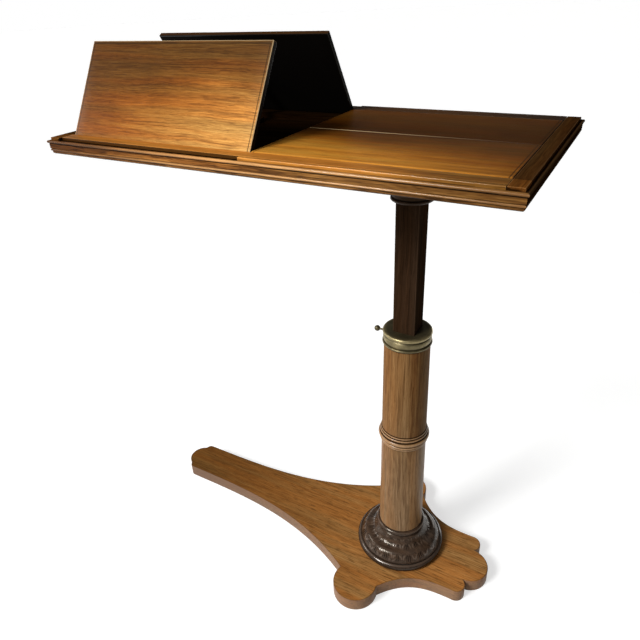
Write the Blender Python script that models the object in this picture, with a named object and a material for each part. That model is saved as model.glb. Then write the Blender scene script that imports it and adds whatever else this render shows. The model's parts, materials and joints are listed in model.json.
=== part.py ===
"""Adjustable reading table on a column.

A rectangular top stands off centre on a square post that slides in a turned column. Each quarter of the
top is a reading flap, hinged along the long edge and held up by a strut on a toothed rack. A narrow book
stop rises in front of each flap. A ball-ended screw in the brass collar clamps the post.

Units are metres, +Z is up, and the origin is on the floor under the column's axis.
+X points to the short end of the base and -Y to the front.
"""

import math

import bmesh
import bpy
from mathutils import Matrix

# Clearances
SEAT_GAP = 0.0003
SLIDE_GAP = 0.0004
RUNNING_GAP = 0.0005

# Base board
BASE_THICKNESS = 0.028
BASE_ARRIS = 0.0010
ARM_REACH = 0.550
ARM_END_RADIUS = 0.030
ARM_SHOULDER = 0.011
ARM_SHOULDER_DEG = 69
ARM_SWEEP_POWER = 3.2
EAR_RADIUS = 0.042
EAR_BACK = 0.037
EAR_SPREAD = 0.133
EAR_START_DEG = 200
EAR_END_DEG = -10
TOE_REACH = 0.180
TOE_RADIUS = 0.037
FLANK_RADIUS = 0.0175
FLANK_BEARING_DEG = 100
FLANK_OVERLAP = 0.0027
FLANK_START_DEG = 100
TOE_SWEEP_POWER = 3.0

# Column, its tenon and the wedges in it
COLUMN_HEIGHT = 0.4955
COLUMN_FOOT_RADIUS = 0.0420
COLUMN_TOP_RADIUS = 0.0380
COLUMN_FLOOR = 0.008
BORE_CLEARANCE = 0.0010
COLUMN_RING_HEIGHT = 0.030
COLUMN_RING_Z = 0.314
COLUMN_RING_PROUD = 0.0058
COLUMN_RING_QUIRK = 0.0003
COLUMN_RING_BEADS = ((0.14, 0.30), (0.20, 0.60), (0.34, 1.00), (0.18, 0.55), (0.14, 0.30))
TENON_RADIUS = 0.020
WEDGE_THICKNESS = 0.0030
WEDGE_TIP = 0.0012
WEDGE_LENGTH = 0.022
WEDGE_SPREAD = 0.008
WEDGE_END_LAND = 0.0012

# Foot ring round the column
FOOT_RING_RADIUS = 0.0857
FOOT_RING_HEIGHT = 0.066
FOOT_TORUS_HEIGHT = 0.0158
FOOT_STEP_BACK = 0.0055
FOOT_STEP_HEIGHT = 0.0028
FOOT_STEP_LEDGE = 0.0020
FOOT_OGEE_BOW = 0.13
FOOT_GROOVE_DEPTH = 0.0015
FOOT_GROOVE_HEIGHT = 0.0030
FOOT_BEAD_HEIGHT = 0.0119
FOOT_BEAD_PROUD = 0.0055

# Brass collar
NECK_STEP = 0.0035
NECK_HEIGHT = 0.0175
COLLAR_PLATE = 0.006
COLLAR_PROUD = 0.0024
COLLAR_BAND_BACK = 0.0008
COLLAR_RIM_RADIUS = 0.0034
COLLAR_LIP_RADIUS = 0.0018
COLLAR_GROOVE = 0.0010

# Post, its shoe and the clamp
POST_SIDE = 0.0369
POST_ARRIS = 0.0008
POST_SHOWN = 0.2155
POST_HIDDEN = 0.2795
SHOE_HEIGHT = 0.030
SHOE_CHAMFER = 0.0015
CLAMP_DROP = 0.0135
CLAMP_STEM_RADIUS = 0.0022
CLAMP_NECK_RADIUS = 0.00165
CLAMP_BALL_RADIUS = 0.0050
CLAMP_BALL_REACH = 0.0535
PAD_RADIUS = 0.0045
PAD_THICKNESS = 0.0026

# Boss and bearer under the top
BOSS_HEIGHT = 0.034
BOSS_RADIUS = 0.045
BOSS_WALL = 0.0055
BOSS_BEAD_HEIGHT = 0.0054
BOSS_GROOVE = 0.0011
BOSS_RIM_HEIGHT = 0.0068
BOSS_RIM_STEP = 0.0020
BEARER_THICKNESS = 0.030
BEARER_WIDTH = 0.100
BEARER_LEFT = 0.330
BEARER_RIGHT = 0.120
BEARER_ARRIS = 0.004
TENON_PIN_RADIUS = 0.004
SCREW_RADIUS = 0.0022
SCREW_HEAD_RADIUS = 0.0045
SCREW_HEAD_DEPTH = 0.0026
SCREW_LENGTH = 0.036
SCREW_INSET = 0.022

# Top: the bed board and the mouldings round it
BED_LENGTH = 0.6896
BED_DEPTH = 0.3476
BED_THICKNESS = 0.0157
TOP_OFFSET = 0.166
WELL_DEPTH = 0.0086
WELL_END_LAND = 0.014
WELL_HINGE_LAND = 0.030
SPINE_HALF_WIDTH = 0.006
MOULDING_WALL = 0.0028
MOULDING_BEAD_RADIUS = 0.0020
MOULDING_STEP = 0.0040
MOULDING_LOW_BEAD_RADIUS = 0.0016
MOULDING_TOE_HEIGHT = 0.0042
MOULDING_TOE_BACK = 0.0016
MOULDING_QUIRK = 0.0005
MOULDING_MITRE_GAP = 0.0002

# Flaps, ledges, rails and book stops
FLAP_THICKNESS = 0.008
FLAP_SPLIT = 0.0010
FLAP_ARRIS = 0.0012
FLAP_ANGLE = math.radians(58.4)
LEDGE_WIDTH = 0.0221
END_RAIL_WIDTH = 0.0189
HINGE_ROD_RADIUS = 0.0015
HINGE_ROD_SEAT = 0.010
STOP_WIDTH = 0.0049
STOP_HEIGHT = 0.010
STOP_DROP = 0.004

# Struts and racks
STRUT_STEM_WIDTH = 0.016
STRUT_THICKNESS = 0.0036
STRUT_FOOT_RADIUS = 0.0020
STRUT_FOOT_LENGTH = 0.046
STRUT_BARREL_RADIUS = 0.0025
STRUT_PIN_RADIUS = 0.0011
BRACKET_PLATE = 0.0010
BRACKET_LENGTH = 0.034
BRACKET_WIDTH = 0.014
BRACKET_LUG = 0.003
RACK_PLATE = 0.0020
RACK_STRIP_WIDTH = 0.011
RACK_TEETH = 8
RACK_TOOTH_DEPTH = 0.0014
RACK_TOOTH_LEAN = 0.3
RACK_REST_TOOTH = 6
RACK_END_MARGIN = 0.006

# Facets
ROUND_STEPS = 32
SMALL_STEPS = 12
ARC_STEPS = 5
BEAD_STEPS = 4

# Heights worked out from the sizes above
BASE_TOP = BASE_THICKNESS
NECK_TOP = BASE_TOP + COLUMN_HEIGHT
NECK_BOTTOM = NECK_TOP - NECK_HEIGHT
COLLAR_BOTTOM = NECK_BOTTOM + SEAT_GAP
COLLAR_TOP = NECK_TOP + SEAT_GAP + COLLAR_PLATE
BORE_FLOOR = BASE_TOP + COLUMN_FLOOR
BORE_RADIUS = POST_SIDE / math.sqrt(2) + BORE_CLEARANCE
BOSS_BOTTOM = COLLAR_TOP + POST_SHOWN
BEARER_BOTTOM = BOSS_BOTTOM + BOSS_HEIGHT + SEAT_GAP
BEARER_TOP = BEARER_BOTTOM + BEARER_THICKNESS
POST_BOTTOM = COLLAR_TOP - POST_HIDDEN
BED_BOTTOM = BEARER_TOP + SEAT_GAP
BED_TOP = BED_BOTTOM + BED_THICKNESS
TOP_Z = BED_TOP + SEAT_GAP + FLAP_THICKNESS
CLAMP_Z = COLLAR_TOP - CLAMP_DROP

# Places on the top, measured from its middle
BED_HALF_LENGTH = BED_LENGTH / 2
BED_HALF_DEPTH = BED_DEPTH / 2
MOULDING_IN_X = BED_HALF_LENGTH + SEAT_GAP
MOULDING_IN_Y = BED_HALF_DEPTH + SEAT_GAP
REBATE = STOP_WIDTH + 2 * SLIDE_GAP - SEAT_GAP
LEDGE_OUT = BED_HALF_DEPTH
LEDGE_IN = LEDGE_OUT - LEDGE_WIDTH
HINGE_Y = LEDGE_IN - RUNNING_GAP - FLAP_THICKNESS / 2
RAIL_OUT = MOULDING_IN_X + REBATE - SEAT_GAP
RAIL_IN = RAIL_OUT - END_RAIL_WIDTH
FLAP_IN = FLAP_SPLIT / 2
FLAP_OUT = RAIL_IN - RUNNING_GAP
FLAP_MID = (FLAP_IN + FLAP_OUT) / 2
FLAP_REACH = HINGE_Y - FLAP_SPLIT / 2
STOP_FLOOR = STOP_HEIGHT + STOP_DROP + SEAT_GAP
WELL_FAR = HINGE_Y - SPINE_HALF_WIDTH
WELL_FLOOR = BED_TOP - WELL_DEPTH - TOP_Z

# Strut geometry, measured from the flap's hinge axis with the flap shut
STRUT_PIVOT_DROP = FLAP_THICKNESS / 2 + BRACKET_PLATE + STRUT_BARREL_RADIUS + 2 * SEAT_GAP
STRUT_LENGTH = (WELL_FAR - RACK_END_MARGIN - STRUT_FOOT_RADIUS) / 2
RACK_STEP = (1.0 - math.cos(FLAP_ANGLE)) / (RACK_REST_TOOTH + RACK_TOOTH_LEAN)


def clear_scene():
    for item in list(bpy.data.objects):
        bpy.data.objects.remove(item, do_unlink=True)


def finish(name, colour, roughness, metallic=0.0):
    made = bpy.data.materials.new(name)
    made.use_nodes = True
    shader = made.node_tree.nodes["Principled BSDF"]
    shader.inputs["Base Color"].default_value = (*colour, 1.0)
    shader.inputs["Roughness"].default_value = roughness
    shader.inputs["Metallic"].default_value = metallic
    made.diffuse_color = (*colour, 1.0)
    return made


def frame(name, place, parent=None, turn=(0.0, 0.0, 0.0)):
    """An empty that carries pieces, set on a joint's axis where they move."""
    made = bpy.data.objects.new(name, None)
    made.location = place
    made.rotation_euler = turn
    made.parent = parent
    made.empty_display_size = 0.02
    bpy.context.scene.collection.objects.link(made)
    return made


def piece(name, form, look, parent=None, smooth=False):
    """A named object made from a bmesh, with its faces pointing out."""
    bmesh.ops.recalc_face_normals(form, faces=form.faces)
    mesh = bpy.data.meshes.new(name)
    form.to_mesh(mesh)
    form.free()
    if smooth:
        mesh.shade_smooth()
        mesh.set_sharp_from_angle(angle=math.radians(35))
    made = bpy.data.objects.new(name, mesh)
    made.parent = parent
    if look:
        made.data.materials.append(look)
    bpy.context.scene.collection.objects.link(made)
    return made


def combine(target, form, operation):
    """Joins a form to a piece, or cuts it out, as a Boolean with a hidden helper."""
    helper = piece(target.name + "_tool", form, None, target.parent)
    helper.hide_render = True
    helper.display_type = "WIRE"
    change = target.modifiers.new(operation.lower(), "BOOLEAN")
    change.operation = operation
    change.object = helper


def cut(target, form):
    combine(target, form, "DIFFERENCE")


def join(target, form):
    combine(target, form, "UNION")


def soften(target, width, steps=1):
    """Takes the arris off a piece's sharp edges."""
    change = target.modifiers.new("arris", "BEVEL")
    change.width = width
    change.segments = steps
    change.limit_method = "ANGLE"
    change.angle_limit = math.radians(50)


def arc(centre, radius, start, end, steps=ARC_STEPS):
    """Points on a circle from one angle to another, in degrees, both ends included."""
    angles = [math.radians(start + (end - start) * i / steps) for i in range(steps + 1)]
    return [(centre[0] + radius * math.cos(a), centre[1] + radius * math.sin(a)) for a in angles]


def prism(outline, axis, start, end):
    """An outline carried along an axis: X takes (y, z) points, Y takes (x, z) and Z takes (x, y)."""
    place = {
        "X": lambda a, b, along: (along, a, b),
        "Y": lambda a, b, along: (a, along, b),
        "Z": lambda a, b, along: (a, b, along),
    }[axis]
    form = bmesh.new()
    near = [form.verts.new(place(a, b, start)) for a, b in outline]
    far = [form.verts.new(place(a, b, end)) for a, b in outline]
    form.faces.new(near)
    form.faces.new(far[::-1])
    count = len(outline)
    for i in range(count):
        j = (i + 1) % count
        form.faces.new((near[i], far[i], far[j], near[j]))
    return form


def block(low, high):
    outline = [(low[0], low[1]), (high[0], low[1]), (high[0], high[1]), (low[0], high[1])]
    return prism(outline, "Z", low[2], high[2])


def rod(axis, centre, radius, start, end, steps=SMALL_STEPS):
    outline = arc(centre, radius, 0, 360 - 360 / steps, steps - 1)
    return prism(outline, axis, start, end)


def turned(profile, steps=ROUND_STEPS):
    """A (radius, height) outline spun round Z: a closed loop, or one that starts and ends on the axis."""
    form = bmesh.new()
    points = [form.verts.new((radius, 0.0, height)) for radius, height in profile]
    on_axis = profile[0][0] == 0.0 and profile[-1][0] == 0.0
    pairs = zip(points, points[1:] if on_axis else points[1:] + points[:1])
    edges = [form.edges.new(pair) for pair in pairs]
    bmesh.ops.spin(
        form,
        geom=points + edges,
        cent=(0, 0, 0),
        axis=(0, 0, 1),
        angle=2 * math.pi,
        steps=steps,
        use_duplicate=False,
    )
    bmesh.ops.remove_doubles(form, verts=form.verts, dist=1e-6)
    return form


def along_x(form):
    """Turns a form made round Z so that its top points to -X."""
    turn = Matrix.Rotation(-math.pi / 2, 4, "Y")
    bmesh.ops.transform(form, matrix=turn, verts=form.verts)
    return form


def sweep_curve(start, end, power, steps=2 * ARC_STEPS):
    """A side that leaves start level and bends up to end, by a power of the way along."""
    span = end[0] - start[0]
    rise = end[1] - start[1]
    ways = [i / steps for i in range(1, steps)]
    return [(start[0] + span * way, start[1] + rise * way**power) for way in ways]


def base_outline():
    """One side of the base from the arm's tip to the toe, then the same side mirrored."""
    tip = (-(ARM_REACH - ARM_END_RADIUS), 0.0)
    side = arc(tip, ARM_END_RADIUS, 180, 180 - ARM_SHOULDER_DEG)
    shoulder = (side[-1][0] + ARM_SHOULDER, side[-1][1])
    side += arc(shoulder, ARM_SHOULDER, 180, 90)[1:]
    ear = (-EAR_BACK, EAR_SPREAD)
    ear_arc = arc(ear, EAR_RADIUS, EAR_START_DEG, EAR_END_DEG, 2 * ARC_STEPS)
    side += sweep_curve(side[-1], ear_arc[0], ARM_SWEEP_POWER)
    side += ear_arc
    toe = (TOE_REACH - TOE_RADIUS, 0.0)
    apart = TOE_RADIUS + FLANK_RADIUS - FLANK_OVERLAP
    bearing = math.radians(FLANK_BEARING_DEG)
    flank = (toe[0] + apart * math.cos(bearing), apart * math.sin(bearing))
    toe_cos = (apart**2 + TOE_RADIUS**2 - FLANK_RADIUS**2) / (2 * apart * TOE_RADIUS)
    flank_cos = (apart**2 + FLANK_RADIUS**2 - TOE_RADIUS**2) / (2 * apart * FLANK_RADIUS)
    toe_start = math.degrees(bearing - math.acos(toe_cos))
    flank_end = math.degrees(bearing - math.pi + math.acos(flank_cos))
    flank_arc = arc(flank, FLANK_RADIUS, FLANK_START_DEG, flank_end)
    side += sweep_curve(flank_arc[0], ear_arc[-1], TOE_SWEEP_POWER)[::-1]
    side += flank_arc
    side += arc(toe, TOE_RADIUS, toe_start, 0)[1:]
    return side + [(x, -y) for x, y in side[-2:0:-1]]


def make_base(looks, pedestal):
    """The floor board, bored right through for the column's tenon."""
    board = prism(base_outline(), "Z", 0.0, BASE_TOP)
    base = piece("base_platform", board, looks["walnut"], pedestal)
    soften(base, BASE_ARRIS)
    cut(base, rod("Z", (0, 0), TENON_RADIUS + SEAT_GAP, -BASE_TOP, 2 * BASE_TOP, ROUND_STEPS))


def column_radius(height):
    """The column tapers in a straight line from its foot to its neck."""
    way = (height - BASE_TOP) / (NECK_BOTTOM - BASE_TOP)
    return COLUMN_FOOT_RADIUS + (COLUMN_TOP_RADIUS - COLUMN_FOOT_RADIUS) * way


def ring_profile():
    """The turned ring part-way up the column: a large bead between smaller ones, from the bottom up."""
    points = []
    low = COLUMN_RING_Z - COLUMN_RING_HEIGHT / 2
    for share, proud in COLUMN_RING_BEADS:
        tall = share * COLUMN_RING_HEIGHT
        middle = low + tall / 2
        half = (tall - COLUMN_RING_QUIRK) / 2
        root = column_radius(middle)
        for i in range(BEAD_STEPS + 1):
            angle = math.pi * i / BEAD_STEPS
            out = proud * COLUMN_RING_PROUD * math.sin(angle)
            points.append((root + out, middle - half * math.cos(angle)))
        low += tall
    return points


def make_column(looks, pedestal):
    """The turned column, hollow for the post, with a wedged tenon below and a neck for the collar."""
    neck = COLUMN_TOP_RADIUS - NECK_STEP
    seat = BASE_TOP + SEAT_GAP
    profile = [(0.0, 0.0), (TENON_RADIUS, 0.0), (TENON_RADIUS, seat), (column_radius(seat), seat)]
    profile += ring_profile()
    profile += [(COLUMN_TOP_RADIUS, NECK_BOTTOM), (neck, NECK_BOTTOM), (neck, NECK_TOP)]
    profile += [(BORE_RADIUS, NECK_TOP), (BORE_RADIUS, BORE_FLOOR), (0.0, BORE_FLOOR)]
    column = piece("column", turned(profile), looks["walnut"], pedestal, True)
    cut(column, clamp_hole())
    outer = WEDGE_SPREAD + WEDGE_THICKNESS / 2 + SEAT_GAP
    half_width = math.sqrt(TENON_RADIUS**2 - outer**2) - WEDGE_END_LAND
    for number, way in ((1, -1), (2, 1)):
        middle = way * WEDGE_SPREAD
        slot = wedge_outline(middle, -WEDGE_TIP, SEAT_GAP)
        cut(column, prism(slot, "Y", -2 * TENON_RADIUS, 2 * TENON_RADIUS))
        wedge = prism(wedge_outline(middle, SEAT_GAP, 0.0), "Y", -half_width, half_width)
        piece(f"tenon_wedge_{number}", wedge, looks["ebonised"], pedestal)


def wedge_outline(middle, low, clearance):
    """A wedge's section, thick below and thin at its tip, or with a clearance the kerf that it fills."""
    thick = WEDGE_THICKNESS / 2 + clearance
    tip = WEDGE_TIP / 2 + clearance
    high = WEDGE_LENGTH + clearance
    return [(middle - thick, low), (middle + thick, low), (middle + tip, high), (middle - tip, high)]


def clamp_hole():
    """A cutter for the screw's way in through the collar and the column's neck."""
    radius = CLAMP_STEM_RADIUS + SLIDE_GAP
    return rod("X", (0.0, CLAMP_Z), radius, -2 * COLUMN_TOP_RADIUS, -POST_SIDE / 2)


def ogee(foot, head, steps=ARC_STEPS + 2):
    """An S-shaped side, steep at its foot and its head: a sine laid over the straight line between them."""
    points = []
    for i in range(steps + 1):
        way = i / steps
        drawn = way + FOOT_OGEE_BOW * math.sin(2 * math.pi * way)
        points.append((foot[0] + (head[0] - foot[0]) * way, foot[1] + (head[1] - foot[1]) * drawn))
    return points


def make_foot_ring(looks, pedestal):
    """A torus on the base, a small step, an ogee up to the column and a bead at the top."""
    low = BASE_TOP + SEAT_GAP
    high = BASE_TOP + FOOT_RING_HEIGHT
    torus = FOOT_TORUS_HEIGHT / 2
    bead = FOOT_BEAD_HEIGHT / 2
    bead_out = column_radius(high) + FOOT_BEAD_PROUD
    step_out = FOOT_RING_RADIUS - FOOT_STEP_BACK
    step_low = low + FOOT_TORUS_HEIGHT
    step_top = step_low + FOOT_STEP_HEIGHT
    profile = [(column_radius(low) + SEAT_GAP, low), (FOOT_RING_RADIUS - torus, low)]
    profile += arc((FOOT_RING_RADIUS - torus, low + torus), torus, -75, 75)
    profile += [(step_out, step_low), (step_out, step_top)]
    ogee_head = (bead_out - FOOT_GROOVE_DEPTH, high - FOOT_BEAD_HEIGHT - FOOT_GROOVE_HEIGHT)
    profile += ogee((step_out - FOOT_STEP_LEDGE, step_top), ogee_head)
    profile += arc((bead_out - bead, high - bead), bead, -80, 90)
    profile += [(column_radius(high) + SEAT_GAP, high)]
    piece("foot_ring", turned(profile), looks["ebonised"], pedestal, True)


def make_collar(looks, pedestal):
    """A brass cap on the column's neck: a plate with a round rim, a groove, a band and a lower bead."""
    rim_out = COLUMN_TOP_RADIUS + COLLAR_PROUD
    band = rim_out - COLLAR_BAND_BACK
    inner = COLUMN_TOP_RADIUS - NECK_STEP + SEAT_GAP
    under = NECK_TOP + SEAT_GAP
    rim = COLLAR_RIM_RADIUS
    lip = COLLAR_LIP_RADIUS
    lip_top = COLLAR_BOTTOM + 2 * lip
    rim_low = COLLAR_TOP - 2 * rim
    profile = [(0.0, under), (inner, under), (inner, COLLAR_BOTTOM), (band - lip, COLLAR_BOTTOM)]
    profile += arc((band - lip / 3, COLLAR_BOTTOM + lip), lip, -80, 80, BEAD_STEPS)
    profile += [(band - lip, lip_top + COLLAR_GROOVE / 2), (band, lip_top + COLLAR_GROOVE)]
    profile += [(band, rim_low - 2 * COLLAR_GROOVE), (rim_out - rim, rim_low - COLLAR_GROOVE)]
    profile += arc((rim_out - rim, COLLAR_TOP - rim), rim, -80, 90)
    profile += [(0.0, COLLAR_TOP)]
    collar = piece("collar", turned(profile), looks["brass"], pedestal, True)
    half = POST_SIDE / 2 + SLIDE_GAP
    cut(collar, block((-half, -half, COLLAR_BOTTOM), (half, half, COLLAR_TOP + COLLAR_PLATE)))
    cut(collar, clamp_hole())


def make_clamp(looks, pedestal):
    """The pad bears on the post. The screw pushes it and ends in a ball to turn it by."""
    face = POST_SIDE / 2 + SEAT_GAP
    pad_frame = frame("pad_slide", (-face, 0.0, CLAMP_Z), pedestal)
    pad = [(0.0, 0.0), (PAD_RADIUS, 0.0), (PAD_RADIUS, PAD_THICKNESS), (0.0, PAD_THICKNESS)]
    piece("pressure_pad", along_x(turned(pad, SMALL_STEPS)), looks["brass"], pad_frame, True)
    screw_frame = frame("screw_turn", (0.0, 0.0, 0.0), pad_frame)
    end = PAD_THICKNESS + SEAT_GAP
    ball = CLAMP_BALL_REACH - face
    shoulder = ball - 2 * CLAMP_BALL_RADIUS
    neck = shoulder + CLAMP_STEM_RADIUS - CLAMP_NECK_RADIUS
    neck_deg = math.degrees(math.asin(CLAMP_NECK_RADIUS / CLAMP_BALL_RADIUS))
    profile = [(0.0, end), (CLAMP_STEM_RADIUS, end)]
    profile += [(CLAMP_STEM_RADIUS, shoulder), (CLAMP_NECK_RADIUS, neck)]
    profile += arc((0.0, ball), CLAMP_BALL_RADIUS, -90 + neck_deg, 90, 2 * BEAD_STEPS)[:-1]
    profile += [(0.0, ball + CLAMP_BALL_RADIUS)]
    made = along_x(turned(profile, SMALL_STEPS))
    piece("clamp_screw", made, looks["brass"], screw_frame, True)


def make_post(looks, lift):
    """The square post and the turned shoe, screwed on its foot, that guides it in the bore."""
    half = POST_SIDE / 2
    body = block((-half, -half, POST_BOTTOM), (half, half, BEARER_TOP))
    post = piece("square_post", body, looks["ebonised"], lift)
    soften(post, POST_ARRIS)
    pin_z = (BEARER_BOTTOM + BEARER_TOP) / 2
    cut(post, rod("Y", (0.0, pin_z), TENON_PIN_RADIUS + SEAT_GAP, -BEARER_WIDTH, BEARER_WIDTH))
    hole = SCREW_RADIUS + SEAT_GAP
    cut(post, rod("Z", (0.0, 0.0), hole, POST_BOTTOM - SCREW_LENGTH, POST_BOTTOM + SCREW_LENGTH))
    high = POST_BOTTOM - SEAT_GAP
    low = high - SHOE_HEIGHT
    radius = BORE_RADIUS - SLIDE_GAP
    sink = SCREW_HEAD_RADIUS + SEAT_GAP
    sink_end = low + SCREW_HEAD_DEPTH + SEAT_GAP
    shoe = [(sink, low), (radius - SHOE_CHAMFER, low), (radius, low + SHOE_CHAMFER)]
    shoe += [(radius, high), (hole, high), (hole, sink_end), (sink, low + SEAT_GAP)]
    piece("post_shoe", turned(shoe, 2 * SMALL_STEPS), looks["walnut"], lift, True)
    screw("shoe_screw", (0.0, 0.0, low), SHOE_HEIGHT + SCREW_LENGTH / 2, looks, lift)


def screw(name, place, length, looks, parent):
    """A countersunk wood screw that points up, with its head's face at the given place."""
    head = frame(name + "_place", place, parent)
    profile = [(0.0, SEAT_GAP), (SCREW_HEAD_RADIUS, SEAT_GAP), (SCREW_RADIUS, SCREW_HEAD_DEPTH)]
    profile += [(SCREW_RADIUS, length - 2 * SCREW_RADIUS), (0.0, length)]
    piece(name, turned(profile, SMALL_STEPS), looks["brass"], head, True)


def screw_hole(place, depth):
    """A cutter for a countersunk hole that opens downwards at the given place."""
    head = SCREW_HEAD_RADIUS + SEAT_GAP
    hole = SCREW_RADIUS + SEAT_GAP
    shoulder = SCREW_HEAD_DEPTH + SEAT_GAP
    profile = [(0.0, -depth), (head, -depth), (head, shoulder)]
    profile += [(hole, shoulder), (hole, depth), (0.0, depth)]
    form = turned(profile, SMALL_STEPS)
    bmesh.ops.translate(form, vec=place, verts=form.verts)
    return form


def make_boss(looks, lift):
    """The turned boss under the bearer: a bead at its foot, a hollow flare and a round rim."""
    half = POST_SIDE / 2 + SEAT_GAP
    foot = half * math.sqrt(2) + BOSS_WALL
    high = BOSS_BOTTOM + BOSS_HEIGHT
    bead = BOSS_BEAD_HEIGHT / 2
    rim = BOSS_RIM_HEIGHT / 2
    profile = [(0.0, BOSS_BOTTOM), (foot - bead, BOSS_BOTTOM)]
    profile += arc((foot - bead, BOSS_BOTTOM + bead), bead, -80, 80, BEAD_STEPS)
    flare_low = BOSS_BOTTOM + BOSS_BEAD_HEIGHT + BOSS_GROOVE
    flare = high - BOSS_RIM_HEIGHT - flare_low
    for i in range(ARC_STEPS + 1):
        angle = math.pi / 2 * i / ARC_STEPS
        radius = BOSS_RADIUS - BOSS_RIM_STEP - (BOSS_RADIUS - foot) * math.cos(angle)
        profile.append((radius, flare_low + flare * math.sin(angle) ** 2))
    profile += arc((BOSS_RADIUS - rim, high - rim), rim, -80, 80, BEAD_STEPS)
    profile += [(BOSS_RADIUS - rim, high), (0.0, high)]
    boss = piece("post_boss", turned(profile), looks["ebonised"], lift, True)
    cut(boss, block((-half, -half, BOSS_BOTTOM - rim), (half, half, high + rim)))


def make_bearer(looks, lift):
    """The batten that carries the top, mortised over the post and screwed up into the bed."""
    low = (-BEARER_LEFT, -BEARER_WIDTH / 2, BEARER_BOTTOM)
    high = (BEARER_RIGHT, BEARER_WIDTH / 2, BEARER_TOP)
    bearer = piece("top_bearer", block(low, high), looks["walnut"], lift)
    soften(bearer, BEARER_ARRIS)
    half = POST_SIDE / 2 + SEAT_GAP
    tall = BEARER_THICKNESS
    cut(bearer, block((-half, -half, BEARER_BOTTOM - tall), (half, half, BEARER_TOP + tall)))
    pin_z = (BEARER_BOTTOM + BEARER_TOP) / 2
    hole = TENON_PIN_RADIUS + SEAT_GAP
    cut(bearer, rod("Y", (0.0, pin_z), hole, -BEARER_WIDTH, BEARER_WIDTH))
    reach = BEARER_WIDTH / 2 - SEAT_GAP
    pin = rod("Y", (0.0, pin_z), TENON_PIN_RADIUS, -reach, reach)
    piece("tenon_pin", pin, looks["ebonised"], lift, True)
    count = 0
    for x in (-BEARER_LEFT + SCREW_INSET, BEARER_RIGHT - SCREW_INSET):
        for y in (-BEARER_WIDTH / 2 + SCREW_INSET, BEARER_WIDTH / 2 - SCREW_INSET):
            count += 1
            cut(bearer, screw_hole((x, y, BEARER_BOTTOM), 2 * SCREW_LENGTH))
            screw(f"bearer_screw_{count}", (x, y, BEARER_BOTTOM), SCREW_LENGTH, looks, lift)


def bearer_screw_places():
    """Where the bearer's screws enter the bed, measured from the middle of the top."""
    xs = (-BEARER_LEFT + SCREW_INSET + TOP_OFFSET, BEARER_RIGHT - SCREW_INSET + TOP_OFFSET)
    ys = (-BEARER_WIDTH / 2 + SCREW_INSET, BEARER_WIDTH / 2 - SCREW_INSET)
    return [(x, y) for x in xs for y in ys]


def make_bed(looks, top):
    """The board under the flaps, with a well for each strut and a spine between the wells."""
    bottom = BED_BOTTOM - TOP_Z
    level = BED_TOP - TOP_Z
    low = (-BED_HALF_LENGTH, -BED_HALF_DEPTH, bottom)
    high = (BED_HALF_LENGTH, BED_HALF_DEPTH, level)
    bed = piece("bed_board", block(low, high), looks["walnut"], top)
    near = HINGE_Y - WELL_HINGE_LAND
    for x in (-1, 1):
        for y in (-1, 1):
            xs = sorted((x * (FLAP_IN + WELL_END_LAND), x * (FLAP_OUT - WELL_END_LAND)))
            ys = sorted((y * SPINE_HALF_WIDTH, y * near))
            cut(bed, block((xs[0], ys[0], WELL_FLOOR), (xs[1], ys[1], BED_THICKNESS)))
    depth = SCREW_LENGTH - BEARER_THICKNESS
    for x, y in bearer_screw_places():
        cut(bed, rod("Z", (x, y), SCREW_RADIUS + SEAT_GAP, bottom - depth, bottom + depth))


def moulding_profile(rebate_floor):
    """The moulding as (outward, height) points: toe, lower bead, band, groove, upper bead and rebate."""
    bottom = BED_BOTTOM - TOP_Z
    wall = REBATE + MOULDING_WALL
    bead = MOULDING_BEAD_RADIUS
    bead_z = -MOULDING_STEP - bead
    low = MOULDING_LOW_BEAD_RADIUS
    low_bead_z = bottom + MOULDING_TOE_HEIGHT + low
    toe = wall - MOULDING_TOE_BACK
    band_low = low_bead_z + low + MOULDING_QUIRK
    band_high = bead_z - bead - MOULDING_QUIRK
    points = [(0.0, bottom), (toe - MOULDING_TOE_BACK, bottom), (toe, bottom + MOULDING_TOE_BACK)]
    points += [(toe, bottom + MOULDING_TOE_HEIGHT)]
    points += arc((wall - low, low_bead_z), low, -80, 80, BEAD_STEPS)
    points += [(wall - MOULDING_QUIRK, band_low), (wall, band_low + MOULDING_QUIRK)]
    points += [(wall, band_high - MOULDING_QUIRK), (wall - MOULDING_QUIRK, band_high)]
    points += arc((wall, bead_z), bead, -85, 90, 2 * BEAD_STEPS)
    points += [(REBATE, -MOULDING_STEP), (REBATE, rebate_floor), (0.0, rebate_floor)]
    return points


def make_moulding(name, along, inner, rebate_floor, look, parent):
    """One mitred length, on the -Y side of its parent: each point runs out as far as it stands proud."""
    form = bmesh.new()
    points = moulding_profile(rebate_floor)
    ends = []
    for way in (-1, 1):
        places = [(way * (along + u - MOULDING_MITRE_GAP), -(inner + u), v) for u, v in points]
        ends.append([form.verts.new(place) for place in places])
    form.faces.new(ends[0])
    form.faces.new(ends[1][::-1])
    count = len(points)
    for i in range(count):
        j = (i + 1) % count
        form.faces.new((ends[0][i], ends[1][i], ends[1][j], ends[0][j]))
    piece(name, form, look, parent)


def make_edges(looks, sides):
    rail_floor = -FLAP_THICKNESS - SEAT_GAP
    for name, side in sides.items():
        long_side = name in ("front", "back")
        along = MOULDING_IN_X if long_side else MOULDING_IN_Y
        inner = MOULDING_IN_Y if long_side else MOULDING_IN_X
        floor = -STOP_FLOOR if long_side else rail_floor
        make_moulding(f"{name}_moulding", along, inner, floor, looks["rosewood"], side)


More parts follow.
